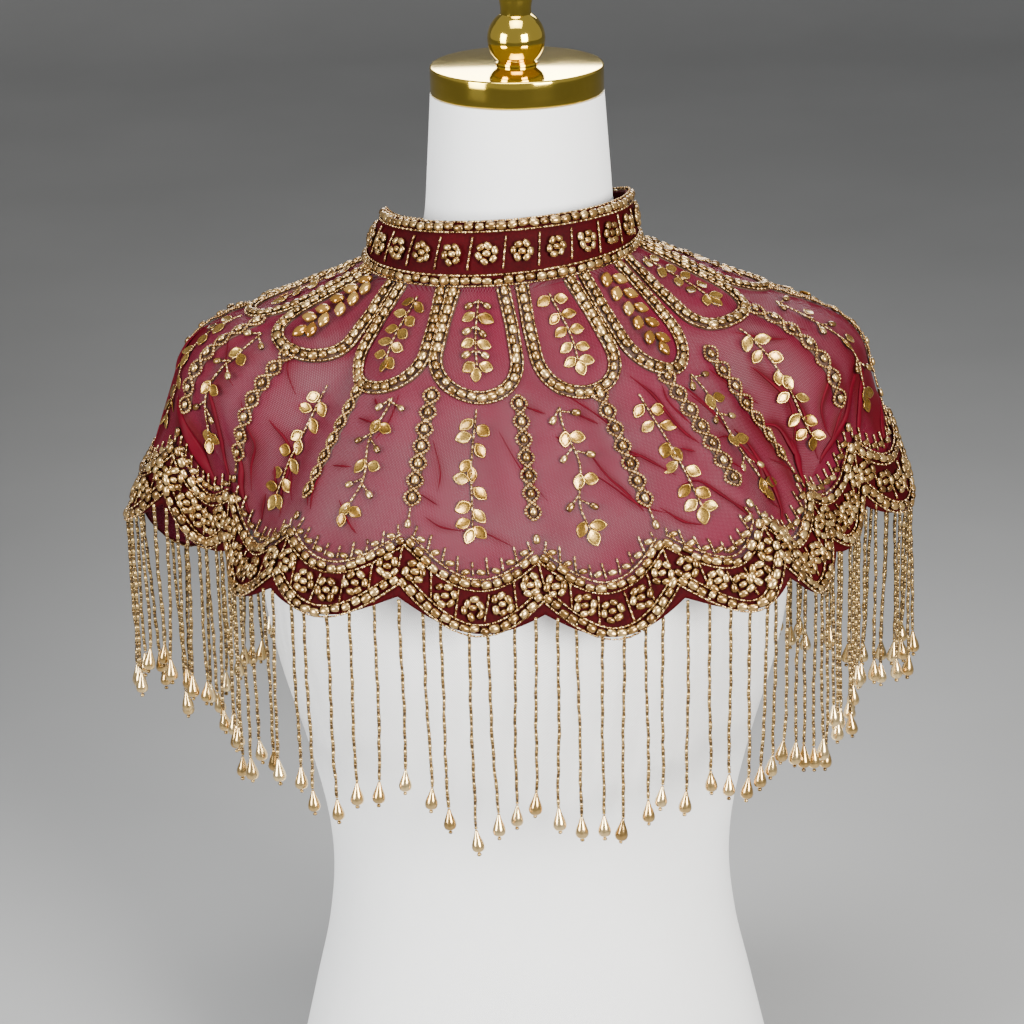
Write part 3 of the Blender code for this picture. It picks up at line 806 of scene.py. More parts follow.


# Beads: random dark, mid and light body colours, mixed towards a dark colour where the bodies carry
# painted shade (flanks, undersides, hole mouths).
def bead_material(name, dark, mid, light, shade_colour, metallic, roughness, mottle=0.0):
    m = Nodes(name, mid)
    body = m.ramp(m.attribute("rnd"), [(0.0, dark), (0.35, mid), (0.75, light), (1.0, mid)])
    tone = m.attribute("tone")
    # the leaf's mottle specks are its hammered marks, breaking up the painted shade
    if mottle:
        specks = m.math("MULTIPLY_ADD", m.noise(1300.0, 2.0), 4.0 * mottle, 1.0 - 2.0 * mottle)
        tone = m.math("MULTIPLY", tone, specks, clamp=True)
    colour = m.mix(m.math("MULTIPLY", tone, 0.85, clamp=True), body, shade_colour)
    m.link(colour, m.bsdf.inputs["Base Color"])
    m.set("Metallic", metallic)
    rough = m.math("MULTIPLY_ADD", m.noise(900.0, 1.0), 0.16, roughness - 0.08)
    m.link(rough, m.bsdf.inputs["Roughness"])
    m.set("Specular IOR Level", 0.7)
    m.set("Coat Weight", 0.35)
    m.set("Coat Roughness", 0.08)
    return m.mat


def make_materials():
    mats = {}
    # each bead colour set ends with the dark colour of its painted shade
    mats["bead"] = bead_material("bead_gold", (0.21, 0.105, 0.026), (0.44, 0.25, 0.074),
                                 (0.80, 0.53, 0.21), (0.018, 0.006, 0.002), 0.85, 0.24)
    mats["bugle"] = bead_material("bugle_gold", (0.17, 0.085, 0.024), (0.39, 0.22, 0.070),
                                  (0.78, 0.52, 0.23), (0.03, 0.012, 0.004), 0.85, 0.22)
    mats["seed"] = bead_material("seed_gold", (0.15, 0.070, 0.018), (0.28, 0.15, 0.042),
                                 (0.50, 0.30, 0.10), (0.025, 0.010, 0.003), 0.78, 0.28)
    mats["leaf"] = bead_material("leaf_gold", (0.30, 0.15, 0.018), (0.50, 0.27, 0.041),
                                 (0.78, 0.49, 0.11), (0.080, 0.034, 0.005), 0.84, 0.28,
                                 mottle=0.9)
    mats["stone"] = bead_material("stone_amber", (0.38, 0.17, 0.026), (0.56, 0.28, 0.050),
                                  (0.84, 0.50, 0.13), (0.10, 0.035, 0.005), 0.80, 0.13)
    mats["string"] = bead_material("string_gold", (0.13, 0.072, 0.019), (0.31, 0.19, 0.054),
                                   (0.58, 0.385, 0.14), (0.06, 0.03, 0.008), 0.84, 0.20)
    mats["drop"] = bead_material("drop_gold", (0.46, 0.28, 0.09), (0.66, 0.44, 0.17),
                                 (0.86, 0.64, 0.32), (0.18, 0.09, 0.025), 0.90, 0.14)

    # polished yellow metal with faint handling marks
    m = Nodes("polished_gold", (0.86, 0.63, 0.18))
    smudge = m.noise(26.0, 4.0)
    m.link(m.mix(smudge, (0.95, 0.71, 0.12), (0.89, 0.61, 0.075)), m.bsdf.inputs["Base Color"])
    m.set("Metallic", 1.0)
    m.link(m.math("MULTIPLY_ADD", smudge, 0.10, 0.03), m.bsdf.inputs["Roughness"])
    mats["gold"] = m.mat

    # white jersey with a fine diagonal weave
    m = Nodes("form_jersey", (0.84, 0.84, 0.81))
    uv = m.node("ShaderNodeUVMap", uv_map="cut").outputs[0]
    a = m.wave(uv, 390.0, math.radians(52))
    b = m.wave(uv, 300.0, math.radians(-38))
    weave = m.math("MULTIPLY_ADD", b, 0.45, m.math("MULTIPLY", a, 0.8))
    grain = m.noise(60.0, 5.0)
    shade = m.math("MULTIPLY_ADD", grain, 0.35, m.math("MULTIPLY", weave, 0.25))
    m.link(m.ramp(shade, [(0.0, (0.84, 0.84, 0.825)), (0.6, (0.91, 0.91, 0.895))]),
           m.bsdf.inputs["Base Color"])
    m.set("Roughness", 0.88)
    m.set("Sheen Weight", 0.25)
    m.set("Sheen Roughness", 0.5)
    m.set("Specular IOR Level", 0.25)
    m.bump(m.math("ADD", weave, m.math("MULTIPLY", grain, 0.6)), 0.35, 0.00035)
    mats["form"] = m.mat

    # opaque dark red cloth of the collar and hem band
    m = Nodes("red_velvet", (0.16, 0.004, 0.012))
    pile = m.noise(700.0, 3.0)
    worn = m.noise(35.0, 3.0)
    colour = m.ramp(m.math("MULTIPLY_ADD", pile, 0.5, m.math("MULTIPLY", worn, 0.5)),
                    [(0.25, (0.014, 0.0003, 0.0008)), (0.55, (0.032, 0.0003, 0.0013)),
                     (0.85, (0.052, 0.0005, 0.0022))])
    m.link(colour, m.bsdf.inputs["Base Color"])
    m.set("Roughness", 0.72)
    m.set("Specular IOR Level", 0.06)
    m.set("Sheen Weight", 0.02)
    m.set("Sheen Roughness", 0.35)
    m.set("Sheen Tint", (0.85, 0.10, 0.14, 1.0))
    m.bump(pile, 0.5, 0.0003)
    mats["velvet"] = m.mat

    # sheer red net: threads over open cells, denser in the folds
    m = Nodes("red_net", (0.42, 0.01, 0.05))
    uv = m.node("ShaderNodeUVMap", uv_map="cut").outputs[0]
    cells = 400.0
    parts = [m.wave(uv, cells, math.radians(d)) for d in (12.0, 72.0, 132.0)]
    top = m.math("MAXIMUM", m.math("MAXIMUM", parts[0], parts[1]), parts[2])
    thread = m.node("ShaderNodeMapRange")
    m.link(top, thread.inputs["Value"])
    thread.inputs["From Min"].default_value = 0.80
    thread.inputs["From Max"].default_value = 0.97
    fold = m.attribute("fold")
    cloud = m.noise(28.0, 3.0)
    cover = m.math("MULTIPLY_ADD", thread.outputs[0], 0.30, 0.680)
    cover = m.math("ADD", cover, m.math("MULTIPLY", fold, 0.30))
    cover = m.math("ADD", cover, m.math("MULTIPLY_ADD", cloud, 0.16, -0.08), clamp=True)
    m.link(cover, m.bsdf.inputs["Alpha"])
    plain = m.ramp(cloud, [(0.30, (0.076, 0.0026, 0.0115)), (0.70, (0.098, 0.0040, 0.0170))])
    colour = m.mix(m.math("MULTIPLY", fold, 1.25, clamp=True), plain, (0.050, 0.0002, 0.0026))
    m.link(colour, m.bsdf.inputs["Base Color"])
    m.set("Roughness", 0.62)
    m.set("Sheen Weight", 0.04)
    m.set("Sheen Roughness", 0.4)
    m.set("Sheen Tint", (0.95, 0.35, 0.45, 1.0))
    m.set("Specular IOR Level", 0.10)
    m.bump(top, 0.25, 0.0002)
    mats["net"] = m.mat

    # the same net lying double in a fold
    m = Nodes("net_double", (0.30, 0.002, 0.012))
    m.link(m.ramp(m.noise(60.0, 2.0), [(0.3, (0.052, 0.0001, 0.0034)), (0.7, (0.080, 0.0002, 0.0056))]),
           m.bsdf.inputs["Base Color"])
    m.set("Roughness", 0.6)
    m.set("Specular IOR Level", 0.08)
    mats["double"] = m.mat

    # brown couching thread under the bead rows, also dark enough to stand for painted shade in the gaps
    # between the beads
    m = Nodes("thread_bed", (0.04, 0.012, 0.008))
    m.link(m.ramp(m.noise(900.0, 2.0), [(0.3, (0.020, 0.006, 0.003)), (0.7, (0.075, 0.026, 0.009))]),
           m.bsdf.inputs["Base Color"])
    m.set("Roughness", 0.7)
    m.bump(m.noise(1500.0, 2.0), 0.4, 0.0003)
    mats["bed"] = m.mat

    m = Nodes("cord", (0.16, 0.004, 0.012))
    m.link(m.ramp(m.noise(900.0, 2.0), [(0.3, (0.08, 0.002, 0.006)), (0.7, (0.2, 0.005, 0.014))]),
           m.bsdf.inputs["Base Color"])
    m.set("Roughness", 0.6)
    m.bump(m.noise(1500.0, 2.0), 0.4, 0.0003)
    mats["cord"] = m.mat
    return mats


MATS = make_materials()


# ------------------------------------------------------------- the dress form
def build_form():
    cols, levels = 144, np.concatenate([
        np.linspace(-41.0, 6.0, 78, endpoint=False), np.linspace(6.0, 17.0, 50, endpoint=False),
        np.linspace(17.0, 25.4, 16)])
    rows = [np.array(form_row(z)) for z in levels]
    t = 2 * np.pi * np.arange(cols) / cols
    verts, uvs = [], []
    for z, (a, f, b, p) in zip(levels, rows):
        c, s = np.cos(t), np.sin(t)
        d = np.where(s < 0, f, b)
        x = np.sign(c) * np.abs(c) ** (2 / p) * a
        y = np.sign(s) * np.abs(s) ** (2 / p) * d
        verts.append(np.column_stack([x * CM, y * CM, np.full(cols, z * CM + BASE_Z)]))
        uvs.append(np.column_stack([np.abs((t + np.pi / 2) % (2 * np.pi) - np.pi) * 0.14,
                                    np.full(cols, z * CM)]))
    n = len(levels)
    verts, uvs = np.vstack(verts), np.vstack(uvs)
    k = np.arange(cols)
    m = (k + 1) % cols
    quads = [np.column_stack([j * cols + k, j * cols + m, (j + 1) * cols + m, (j + 1) * cols + k])
             for j in range(n - 1)]
    base = len(verts)
    verts = np.vstack([verts, [[0, 0, levels[0] * CM + BASE_Z], [0, 0, levels[-1] * CM + BASE_Z]]])
    uvs = np.vstack([uvs, [[0, 0], [0, 0]]])
    tris = np.vstack([np.column_stack([m, k, np.full(cols, base)]),
                      np.column_stack([(n - 1) * cols + k, (n - 1) * cols + m,
                                       np.full(cols, base + 1)])])
    obj = mesh_object("form_cover", verts, [tris, np.vstack(quads)], MATS["form"], uv=uvs)
    obj.data.set_sharp_from_angle(angle=math.radians(50))
    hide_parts("form_torso")

    neck = BASE_Z + NECK_TOP
    e = 0.0012
    gap = 0.0003
    arc = [math.pi / 2 * q / 5 for q in range(6)]
    profile = [(0.0, CAP_H)] + [(CAP_R - e + e * math.sin(q), CAP_H - e + e * math.cos(q)) for q in arc]
    profile += [(CAP_R, CAP_H * 0.66), (CAP_R, CAP_H * 0.33)]
    profile += [(CAP_R - e + e * math.cos(q), e - e * math.sin(q)) for q in arc] + [(0.0, 0.0)]
    v, f = lathe(profile, 160)
    cap = mesh_object("cap_gold", v + [0, 0, neck + gap], f, MATS["gold"])
    cap.data.set_sharp_from_angle(angle=math.radians(35))
    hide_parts("neck_cap")

    ball, stem, zc = 0.0165, 0.0098, 0.0145
    top = 2 * zc + 0.0205
    profile = [(0.0, top)] + [(stem * math.sin(q), top - stem * 0.45 * (1 - math.cos(q)))
                              for q in np.linspace(0.25, math.pi / 2, 7)]
    profile += [(stem, top - 0.009), (stem * 0.97, 2 * zc + 0.0075), (stem * 0.90, 2 * zc + 0.0035)]
    a0 = math.asin(0.0088 / ball)
    profile += [(ball * math.sin(q), zc + ball * math.cos(q))
                for q in np.linspace(a0, math.pi - 0.60, 26) if zc + ball * math.cos(q) > 0.0013]
    profile += [(0.0118, 0.0012), (0.0118, 0.0), (0.0, 0.0)]
    v, f = lathe(profile, 96)
    fin = mesh_object("finial_gold", v + [0, 0, neck + gap + CAP_H + gap], f, MATS["gold"])
    fin.data.set_sharp_from_angle(angle=math.radians(40))
    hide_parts("finial")
    return obj


# ------------------------------------------------------------------ the collar
def collar_point(u, t):
    """Collar surface: t is 0 at the top edge and 1 at the seam."""
    u, t = np.broadcast_arrays(np.asarray(u, float), np.asarray(t, float))
    a = np.radians(u)
    out = []
    for name in ("top", "mid", "seam"):
        cx, half, front, back, level, rise, drop, ease, tilt = COLLAR_RINGS[name]
        c = np.cos(a)
        x = half * np.sin(a)
        y = -np.where(c > 0, front, back) * c
        slip = drop * np.clip(-c, 0, 1) ** ease * (1 - BACK_SKEW * np.sin(a))
        z = level + x * math.tan(math.radians(tilt)) + np.where(c > 0, rise * c, -slip)
        out.append(np.stack([cx + x, y, z], axis=-1))
    p0, p1, p2 = out
    w0 = ((1 - t) * (1 - 2 * t))[..., None]
    w1 = (4 * t * (1 - t))[..., None]
    w2 = (t * (2 * t - 1))[..., None]
    p = (p0 * w0 + p1 * w1 + p2 * w2) * CM
    p[..., 2] += BASE_Z
    return p


def collar_place(u, t):
    e = 0.05
    P = collar_point(u, t)
    across = collar_point(np.asarray(u) + e, t) - collar_point(np.asarray(u) - e, t)
    down = collar_point(u, np.asarray(t) + 0.01) - collar_point(u, np.asarray(t) - 0.01)
    N = unit(np.cross(down, across))
    D = unit(down)
    return P + N * 0.0006, np.cross(N, D), D, N


COLLAR_GAP = 0.9        # degrees each side of the centre back


def build_collar():
    us = np.linspace(-180 + COLLAR_GAP, 180 - COLLAR_GAP, 361)
    ts = np.linspace(0.0, 1.0, 15)
    U, T = np.meshgrid(us, ts, indexing="ij")
    P = collar_point(U, T)
    soft = 0.00025 * np.sin(U * 0.21 + 3 * T) + 0.0002 * np.sin(U * 0.47 + 1.0)
    _, _, _, N = collar_place(U, T)
    P = P + N * soft[..., None]
    nu, nt = U.shape
    idx = np.arange(nu * nt).reshape(nu, nt)
    quads = np.stack([idx[:-1, :-1], idx[:-1, 1:], idx[1:, 1:], idx[1:, :-1]], axis=-1).reshape(-1, 4)
    obj = mesh_object("collar_band", P.reshape(-1, 3), [quads], MATS["velvet"])
    mod = obj.modifiers.new("wall", "SOLIDIFY")
    mod.thickness = 0.0018
    mod.offset = 0.0
    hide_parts("collar")

    ovals, bugles = Beads(), Beads()
    ends = np.linspace(-180 + COLLAR_GAP + 1.0, 180 - COLLAR_GAP - 1.0, 720)
    for t in (0.085, 0.935):
        bordered_row(ovals, bugles, ends, np.full_like(ends, t), where=collar_place, gap=3.0,
                     pitch=6.0, size=(5.7, 4.8, 3.2))
    # cells: upright bugle rows with a rosette between them
    cells = 24
    width = (360.0 - 2 * COLLAR_GAP - 4.0) / cells
    for k in range(cells + 1):
        u = -180 + COLLAR_GAP + 2.0 + k * width
        lean = RNG.normal(0, 0.5)
        line = np.linspace(0.24, 0.77, 24)
        if 0 < k < cells:
            bugle_row(bugles, u + lean * (line - 0.5), line, where=collar_place, pitch=3.5)
        if k < cells:
            rosette(ovals, u + width * 0.5 + RNG.normal(0, 0.15), 0.51, where=collar_place,
                    turn=RNG.uniform(0, 60), reach=4.4, size=(4.7, 3.9, 2.9))
    for beads, name, mat in ((ovals, "collar_ovals", "bead"), (bugles, "collar_bugles", "bugle")):
        o = beads.build(name, MATS[mat])
    return obj


def rosette(beads, u, s, where=place, turn=0.0, reach=3.9, size=(4.1, 3.4, 2.7), petals=6,
            lift=0.0):
    """A ring of ovals round one centre bead."""
    P, A, D, N = (v[0] for v in where(np.array([u]), np.array([s])))
    P = P + N * lift
    beads.add(OVAL, P, A, N, np.array(size) * 0.92, SKIN + size[2] * 0.5 * MM)
    a = np.radians(turn + np.arange(petals) * 360.0 / petals + RNG.normal(0, 5, petals))
    r = (reach + 0.18 * RNG.standard_normal(petals)) * MM
    out = np.cos(a)[:, None] * A + np.sin(a)[:, None] * D
    long = -np.sin(a)[:, None] * A + np.cos(a)[:, None] * D
    mixed = unit(long + out * RNG.normal(0, 0.35, petals)[:, None])
    tip = unit(N + out * RNG.normal(0.05, 0.18, petals)[:, None])
    beads.add(OVAL, P + out * r[:, None], mixed, tip, size, SKIN + size[2] * 0.45 * MM)


# ------------------------------------------------------------------- the net
# Creases of the net at the sides and back, given in pattern
# coordinates: from (u, s) to (u, s), sideways bow in mm, half width in mm,
# height in mm, and how much the doubled net darkens it.
CREASES = [
    #  u0     s0     u1     s1    bow  width height dark
    (-95.0,   7.0, -98.0,  16.0,  2.0, 1.5,  1.0, 0.70),
    (-106.0,  8.0,-109.0,  16.2, -2.0, 1.5,  1.1, 0.80),
    (-114.0,  7.6,-117.0,  16.6,  1.5, 1.5,  1.2, 0.90),
    (-124.0,  8.0,-127.0,  15.8, -1.5, 1.5,  1.0, 0.75),
    (-140.0,  8.4,-145.0,  16.2,  2.0, 1.5,  1.1, 0.85),
    (-150.0,  9.0,-152.0,  16.4, -1.5, 1.5,  1.1, 0.85),
    (-172.0, 10.0,-176.0,  16.6,  1.5, 1.5,  1.1, 0.85),
    ( 98.0,   7.4, 101.0,  16.2, -1.5, 1.5,  1.1, 0.80),
    ( 110.0,  8.2, 113.0,  16.4,  1.5, 1.5,  1.2, 0.90),
    ( 120.0,  7.8, 123.0,  15.8, -1.5, 1.5,  1.0, 0.75),
    ( 140.0,  8.6, 146.0,  16.2,  2.0, 1.5,  1.1, 0.85),
    ( 153.0,  9.0, 151.0,  16.4, -1.5, 1.5,  1.1, 0.80),
    ( 172.0, 10.0, 177.0,  16.6,  1.5, 1.5,  1.1, 0.85),
]

# Folds of the front: width in mm of the doubled net on the fold's back (0 where
# it only swells), half width and height in mm of the swelling, darkening, and
# the line it runs along in pattern coordinates.
FOLDS = [
    # core soft rise dark   line of (u, s)
    (0.9, 1.6, 0.5, 0.45, [(1, 7.0), (6, 7.5)]),
    (1.0, 1.7, 0.6, 0.50, [(12, 7.5), (17, 8.5)]),
    (1.1, 1.8, 0.6, 0.55, [(13, 10.0), (15, 11.5), (17, 12.5), (19, 13.8)]),
    (1.0, 1.6, 0.5, 0.50, [(20, 10.5), (23, 10.8)]),
    (0.8, 1.6, 0.4, 0.40, [(7, 8.8), (9, 9.2)]),
    (0.6, 1.8, 0.5, 0.35, [(-19, 12.8), (-15.5, 13.3)]),
    (0.7, 1.8, 0.5, 0.40, [(-17.5, 14.1), (-15, 14.5), (-11, 14.5)]),
    (0.6, 1.8, 0.5, 0.35, [(-9, 14.3), (-4, 15.1)]),
    (1.1, 1.8, 0.6, 0.55, [(20, 10.2), (23, 10.8), (28, 12.2)]),
    (1.4, 2.0, 0.8, 0.65, [(30, 6.2), (33, 7.5), (34, 9.0), (35, 10.0), (37, 10.8)]),
    (1.4, 2.0, 0.9, 0.65, [(42, 10.8), (49, 11.2), (52, 13.0), (50, 14.5), (52, 15.8)]),
    (1.0, 1.7, 0.6, 0.50, [(32, 10.8), (35, 11.2)]),
    (2.3, 2.4, 1.1, 0.85, [(52, 10.8), (53, 11.8), (53, 13.0), (53, 14.2), (52, 15.5), (50, 16.5)]),
    (1.2, 2.0, 0.8, 0.60, [(69, 10.8), (69, 12.0), (68, 13.2), (66, 14.0), (65, 15.0)]),
    (3.4, 2.6, 1.0, 0.85, [(66, 13.4), (65, 14.2), (63, 15.0), (59, 16.2)]),
    (3.6, 2.8, 1.0, 0.90, [(92, 12.5), (84, 13.5), (79, 14.5), (70, 15.8)]),
    (1.3, 2.0, 0.7, 0.55, [(44, 8.2), (49, 10.2), (51, 12.2), (52, 13.2)]),
    (1.0, 1.8, 0.6, 0.45, [(38, 10.8), (41, 12.0), (47, 13.0)]),
    (0.9, 1.7, 0.5, 0.40, [(37, 7.2), (36, 8.2), (38, 9.8)]),
    (0.9, 1.7, 0.6, 0.45, [(85, 6.0), (80, 8.0), (84, 9.5)]),
    (0.7, 1.7, 0.5, 0.32, [(8, 5.8), (13, 6.8), (18, 8.2), (21, 9.8)]),
    (0.7, 1.7, 0.5, 0.32, [(12, 11.0), (15, 12.0), (19, 13.5), (23, 14.2)]),
    (0.6, 1.8, 0.5, 0.30, [(-18, 9.5), (-16, 11.2), (-16, 12.5)]),
    (0.6, 1.8, 0.5, 0.28, [(-5, 8.5), (-1, 10.8), (3, 12.5)]),
    (0.7, 1.7, 0.5, 0.32, [(-28, 6.8), (-28, 8.5), (-30, 9.8)]),
    (2.2, 2.4, 1.1, 0.85, [(59, 11.0), (64, 12.2), (65, 13.5), (64, 14.8), (62, 15.5)]),
    (1.3, 2.0, 0.8, 0.70, [(56, 13.0), (61, 14.5), (63, 16.0)]),
    (1.3, 2.0, 0.8, 0.70, [(66, 9.0), (67, 9.8), (69, 12.0), (68, 13.5)]),
    (1.3, 2.2, 0.9, 0.75, [(80, 11.5), (79, 12.0), (75, 13.2), (75, 15.0)]),
    (1.3, 2.2, 0.9, 0.75, [(81, 13.5), (77, 14.5), (73, 15.5)]),
    (1.1, 1.8, 0.7, 0.60, [(69, 7.2), (73, 8.5), (77, 9.2)]),
    (1.2, 1.9, 0.7, 0.60, [(28, 12.8), (32, 12.8), (35, 13.8), (37, 14.5), (40, 15.2)]),
    (1.1, 1.8, 0.6, 0.55, [(22, 13.8), (25, 14.8), (28, 15.2)]),
    (1.1, 1.8, 0.6, 0.55, [(36, 14.2), (38, 15.0), (39, 15.8)]),
    (1.0, 1.7, 0.5, 0.50, [(16, 12.5), (18, 13.2), (19, 13.8)]),
    (1.2, 2.0, 0.8, 0.65, [(44, 7.6), (47, 9.0), (50, 10.2)]),
    (1.2, 2.0, 0.8, 0.65, [(57, 7.4), (60, 9.2), (63, 10.6)]),
    (1.5, 2.2, 0.9, 0.75, [(70, 11.0), (71, 13.0), (70, 15.6)]),
    (0.0, 4.0, 1.2, 0.60, [(57, 10.0), (59, 13.0), (57, 16.2)]),
    (0.0, 5.0, 1.3, 0.60, [(78, 9.5), (82, 12.5), (80, 16.0)]),
    (3.4, 3.0, 1.2, 0.95, [(93, 12.8), (87, 14.2), (83, 15.8)]),
    (3.0, 2.8, 1.2, 0.95, [(97, 14.5), (92, 16.0), (91, 17.2)]),
    (4.6, 5.0, 1.4, 1.00, [(-95.5, 8.6), (-95, 11.0), (-94, 14.0), (-93.5, 17.2)]),
    (5.6, 5.0, 1.5, 1.00, [(-87, 13.0), (-82, 13.8), (-75, 15.0), (-69, 16.0), (-64, 16.0)]),
    (2.6, 2.4, 1.0, 0.75, [(-72, 11.0), (-68, 12.0), (-65, 13.2), (-63, 14.5), (-60, 15.8)]),
    (3.2, 2.6, 1.0, 0.85, [(-61, 12.8), (-59, 13.8), (-58, 15.0), (-54, 16.4)]),
    (1.2, 2.0, 0.7, 0.60, [(-62, 10.5), (-59, 11.5), (-57, 12.2), (-57, 13.5), (-56, 14.8)]),
    (1.8, 2.0, 0.9, 0.70, [(-56, 10.5), (-52, 11.2), (-50, 12.5), (-50, 13.8), (-47, 15.2)]),
    (1.3, 1.9, 0.7, 0.60, [(-51, 10.2), (-50, 11.5), (-49, 12.8), (-45, 14.0)]),
    (1.3, 1.8, 0.6, 0.50, [(-39, 11.5), (-39, 13.0), (-38, 14.2)]),
    (0.8, 1.6, 0.5, 0.40, [(-66, 5.5), (-60, 6.5), (-58, 7.5), (-54, 8.5)]),
    (0.9, 1.7, 0.6, 0.45, [(-80, 8.5), (-70, 9.8), (-65, 10.2)]),
    (1.0, 1.7, 0.6, 0.45, [(-33, 13.5), (-30, 14.8), (-28, 15.5)]),
    (1.3, 1.9, 0.8, 0.65, [(-53, 12.8), (-50, 14.8)]),
    (1.0, 1.8, 0.6, 0.55, [(-41, 12.5), (-39, 14.0)]),
    (1.0, 1.8, 0.6, 0.50, [(-36, 8.5), (-31, 8.8)]),
    (0.9, 1.7, 0.5, 0.45, [(-37, 11.5), (-33, 11.5)]),
    (0.9, 1.7, 0.5, 0.45, [(-34, 7.2), (-32, 7.8)]),
    (1.4, 2.0, 0.8, 0.70, [(-53, 14.5), (-52, 16.0)]),
    (0.0, 4.0, 1.1, 0.45, [(-66, 8.0), (-69, 10.5), (-70, 13.0)]),
    (0.0, 4.5, 1.2, 0.55, [(-78, 8.0), (-81, 11.0), (-82, 13.0)]),
    (0.0, 3.5, 0.9, 0.35, [(-46, 8.0), (-47, 11.0), (-46, 14.5)]),
]


def fold_line(points, steps=7):
    """Smooth line through a fold's points: arrays of u and s."""
    rows = [(float(k), *p) for k, p in enumerate(points)]
    w = np.linspace(0.0, len(rows) - 1.0, steps * (len(rows) - 1) + 1)
    return (np.array([curve(rows, 1, q) for q in w]), np.array([curve(rows, 2, q) for q in w]))


# Broad soft gathers, where the net runs into the valleys of the hem: angle,
# distance, half width in mm across and along, height in mm, darkening.
GATHERS = [
    #   u      s    across along height dark
    ( -50.0, 15.5,   9.0, 34.0, -1.6, 0.30),
    ( -58.0, 13.5,   8.0, 40.0,  1.4, 0.26),
    ( -70.0, 14.0,  10.0, 38.0, -1.8, 0.42),
    ( -79.0, 11.5,  10.0, 45.0,  1.6, 0.26),
    ( -90.0, 14.0,  12.0, 40.0, -1.4, 0.30),
    (-116.0, 14.0,  12.0, 40.0, -1.8, 0.40),
    (-148.0, 14.5,  12.0, 40.0, -1.8, 0.40),
    ( 180.0, 15.0,  12.0, 36.0, -1.8, 0.40),
    ( 148.0, 14.5,  12.0, 40.0, -1.8, 0.40),
    ( 115.0, 14.0,  12.0, 40.0, -1.8, 0.40),
    (  90.0, 13.5,  12.0, 40.0, -1.4, 0.34),
    (  93.0, 14.4,  12.0, 19.0,  0.0, 1.35),
    ( -94.0, 13.4,  10.0, 34.0,  0.0, 0.80),
    ( -79.0, 14.9,  17.0,  6.5,  0.0, 0.75),
    (  78.0, 12.0,  10.0, 42.0,  1.6, 0.30),
    (  66.0, 14.0,  10.0, 38.0, -1.6, 0.40),
    (  57.0, 13.5,   8.0, 36.0,  1.4, 0.30),
    (  50.0, 15.5,   9.0, 32.0, -1.6, 0.34),
    (  36.0, 12.0,   9.0, 30.0,  1.0, 0.12),
    ( -38.0, 13.0,   9.0, 30.0,  1.0, 0.12),
    (  12.0, 11.5,  12.0, 26.0,  0.8, 0.04),
    ( -14.0, 12.0,  12.0, 26.0, -0.7, 0.03),
]


def flat_mm(u, s):
    """Position on the flat cut, in mm."""
    r = (FLAT_R0 + np.asarray(s, float)) * 10.0
    a = np.asarray(u, float) / 360.0 * FLAT_ANGLE
    return np.stack([r * np.sin(a), -r * np.cos(a)], axis=-1)


def crease_lines():
    """Each crease as a line on the flat cut, its reach in u, and its sizes."""
    lines = []
    for u0, s0, u1, s1, bow, width, rise, shade in CREASES:
        a, b = flat_mm(u0, s0), flat_mm(u1, s1)
        side = np.array([-(b - a)[1], (b - a)[0]])
        side = side / np.linalg.norm(side)
        t = np.linspace(0, 1, 13)
        pts = a + (b - a) * t[:, None] + side * (bow * 4 * t * (1 - t)
              + 0.9 * np.sin(9.0 * t + u0) * t * (1 - t) * 2)[:, None]
        lines.append((pts, min(u0, u1) - 7, max(u0, u1) + 7, width, rise, shade))
    for core, soft, rise, shade, points in FOLDS:
        u, s = fold_line(points)
        lines.append((flat_mm(u, s), u.min() - 7, u.max() + 7, soft, rise, shade))
    return lines


LINES = crease_lines()


def creases(u, s):
    """Height in metres and darkening from 0 to 1 of the creases at (u, s)."""
    shape = u.shape
    X = flat_mm(u, s).reshape(-1, 2)
    u, s = u.reshape(-1), s.reshape(-1)
    height, dark = np.zeros(len(u)), np.zeros(len(u))
    for pts, low, high, width, rise, shade in LINES:
        idx = np.nonzero((u > low) & (u < high))[0]
        if not len(idx):
            continue
        best = np.full(len(idx), 1e9)
        where = np.zeros(len(idx))
        Q = X[idx]
        last = len(pts) - 1
        for k in range(last):
            d = pts[k + 1] - pts[k]
            w = np.clip(((Q - pts[k]) @ d) / (d @ d), 0, 1)
            dist = np.linalg.norm(Q - pts[k] - w[:, None] * d, axis=1)
            better = dist < best
            best[better] = dist[better]
            where[better] = (k + w[better]) / last
        taper = np.clip(np.sin(np.pi * (0.04 + 0.92 * where)), 0, 1) ** 0.7
        x = best / (width * (0.6 + 0.5 * taper))
        # a ridge with a shallow trough on each side of it
        height[idx] += rise * MM * taper * (1.15 * np.exp(-0.5 * x ** 2)
                                            - 0.30 * np.exp(-0.5 * ((x - 2.4) / 0.9) ** 2))
        dark[idx] = np.maximum(dark[idx], shade * taper * np.exp(-0.5 * x ** 2))
    soft = 0.20 * np.clip((7.0 - s) / 4.0, 0, 1)     # crowded near the neck
    for uc, sc, across, along_mm, rise, shade in GATHERS:
        du = (u - uc + 180.0) % 360.0 - 180.0
        x = du / 360.0 * FLAT_ANGLE * (FLAT_R0 + s) * 10.0
        y = (s - sc) * 10.0
        g = np.exp(-0.5 * (x / across) ** 2 - 0.5 * (y / along_mm) ** 2)
        height += rise * MM * g
        soft += shade * g
    fade = np.clip((s - 1.0) / 4.0, 0, 1) * np.clip((20.0 - s) / 3.0, 0, 1)
    return (height * fade).reshape(shape), np.clip(dark + soft * 0.8, 0, 1).reshape(shape)


